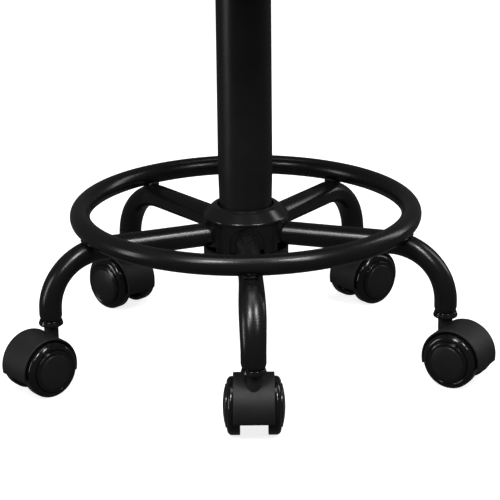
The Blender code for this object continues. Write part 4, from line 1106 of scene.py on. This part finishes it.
def hem():
    """The cover's lower edge: from under the piping down over the board and in beneath it. On the
    underside it is gathered, z = low - fold sin(n a), with the folds dying away at the rim."""
    low, lip = cover_low.z, BOARD - 20 * MM
    outer = rounded([(BOARD + 2.6 * MM, PAD_LOW + 1 * MM, 0), (BOARD + 2.9 * MM, low + 1 * MM, 2.5 * MM),
                     (lip, low, 0)], 9, 2 * MM)
    inner = rounded([(lip, low + 1.6 * MM, 0), (BOARD + .8 * MM, low + 1.7 * MM, 1 * MM),
                     (BOARD + 1.1 * MM, PAD_LOW + 1 * MM, 0)], 5, 2 * MM)
    line = np.vstack([outer, inner])
    a = np.linspace(0, math.tau, 720, endpoint=False)[None, :]
    radius, height = line[:, :1], line[:, 1:]
    beneath = np.clip((BOARD - radius) / (BOARD - lip), 0, 1) * (height < low + 1.8 * MM)
    fold = .45 * MM * np.sin(64 * a + 1.3 * np.sin(5 * a)) + .25 * MM * np.sin(23 * a)
    height = height + fold * beneath * (np.arange(len(line))[:, None] < len(outer) + 2)
    ragged = .8 * MM * np.sin(41 * a) * (beneath > .9)
    radius = radius + ragged
    return swept(radius, a, height, wrap_rows=True)


piece("seat_cover_hem", [hem()], VINYL, "seat", ["seat_cover"], sharp=60)

# %% [markdown]
# ## Hidden parts
# The bearing, rod, clip, stems and axles keep their CAD shape, because they sit inside other
# parts. They still get a real finish, since they show in a cut or when a wheel is taken off.

# %% Finishes for the parts that stay
kept = {"release_button": ZINC, "piston_rod": CHROME, "upper_race": ZINC, "lower_race": ZINC,
        "ball_cage": ZINC, "retaining_clip": ZINC, "rebound_bumper": RUBBER}
for name in LEGS:
    kept["stem_" + name] = ZINC
    kept["axle_" + name] = ZINC
for name, material in kept.items():
    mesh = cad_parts[name].data
    mesh.materials.clear()
    mesh.materials.append(material)
shown = [n for n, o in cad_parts.items() if not o.hide_render]
print("CAD nodes shown:", len(shown), sorted(set(shown) - set(kept)))

# %% [markdown]
# ## Floor and light
# A pale floor without an edge, and a plain white surround that the camera sees but that lights
# the stool only weakly, so that black stays black. Two soft boxes high in front, left and right,
# draw the paired streaks down every tube, and two smaller ones below them reach in under the seat
# to the back of the ring. Two tall strips, one at the left and one behind on the right, pick out
# the column, and a wide box overhead lights the tops.

# %% Floor, surround and soft boxes
floor_mesh = bpy.data.meshes.new("floor")
reach = 6.0
floor_mesh.from_pydata([(-reach, -reach, 0), (reach, -reach, 0), (reach, reach, 0), (-reach, reach, 0)],
                       [], [(0, 1, 2, 3)])
floor = placed("floor", floor_mesh)
floor.location.z = -0.0002
paper, tree, shader = blank("white_paper")
place = node(tree, "TexCoord").outputs["Object"]
tree.links.new(tinted(tree, between(tree, noise(tree, place, 3.0), 0, 1), (.90, .90, .90),
                      (.93, .93, .93)), shader.inputs["Base Color"])
shader.inputs["Roughness"].default_value = 0.9
shader.inputs["Emission Color"].default_value = (1, 1, 1, 1)
shader.inputs["Emission Strength"].default_value = 0.84
floor_mesh.materials.append(paper)
floor.visible_diffuse = False
floor.visible_glossy = False

world = bpy.data.worlds.new("surround")
world.use_nodes = True
bpy.context.scene.world = world
sky = world.node_tree.nodes["Background"]
seen = node(world.node_tree, "LightPath").outputs["Is Camera Ray"]
strength = node(world.node_tree, "MapRange", [("Value", seen), ("To Min", 0.07),
                                              ("To Max", 1.0)]).outputs["Result"]
sky.inputs["Color"].default_value = (1, 1, 1, 1)
world.node_tree.links.new(strength, sky.inputs["Strength"])


def soft_box(name, azimuth, elevation, distance, size, watts):
    """An area light at an azimuth from the camera (right is positive) and an elevation, facing
    the middle of the base."""
    a, e = math.radians(azimuth), math.radians(elevation)
    aim = Vector((0, 0, 0.14))
    at = aim + distance * Vector((math.sin(a) * math.cos(e), -math.cos(a) * math.cos(e), math.sin(e)))
    data = bpy.data.lights.new(name, "AREA")
    data.shape, data.size, data.size_y, data.energy = "RECTANGLE", size[0], size[1], watts
    light = placed(name, data)
    light.matrix_world = Matrix.Translation(at) @ (at - aim).to_track_quat("Z", "Y").to_matrix().to_4x4()
    return light


soft_box("left_high", -25, 51, 2.2, (0.45, 0.45), 17)
soft_box("right_high", 40, 51, 2.2, (0.45, 0.45), 15)
soft_box("left_low", -33, 36, 2.4, (0.35, 0.3), 5)
soft_box("right_low", 40, 36, 2.4, (0.35, 0.3), 5)
soft_box("left_strip", -76, 7, 2.0, (0.35, 1.0), 6)
soft_box("right_rim", 115, 25, 2.2, (0.4, 1.4), 6)
soft_box("overhead", 0, 88, 2.2, (1.4, 1.4), 14)
bpy.context.scene.view_settings.view_transform = "Standard"
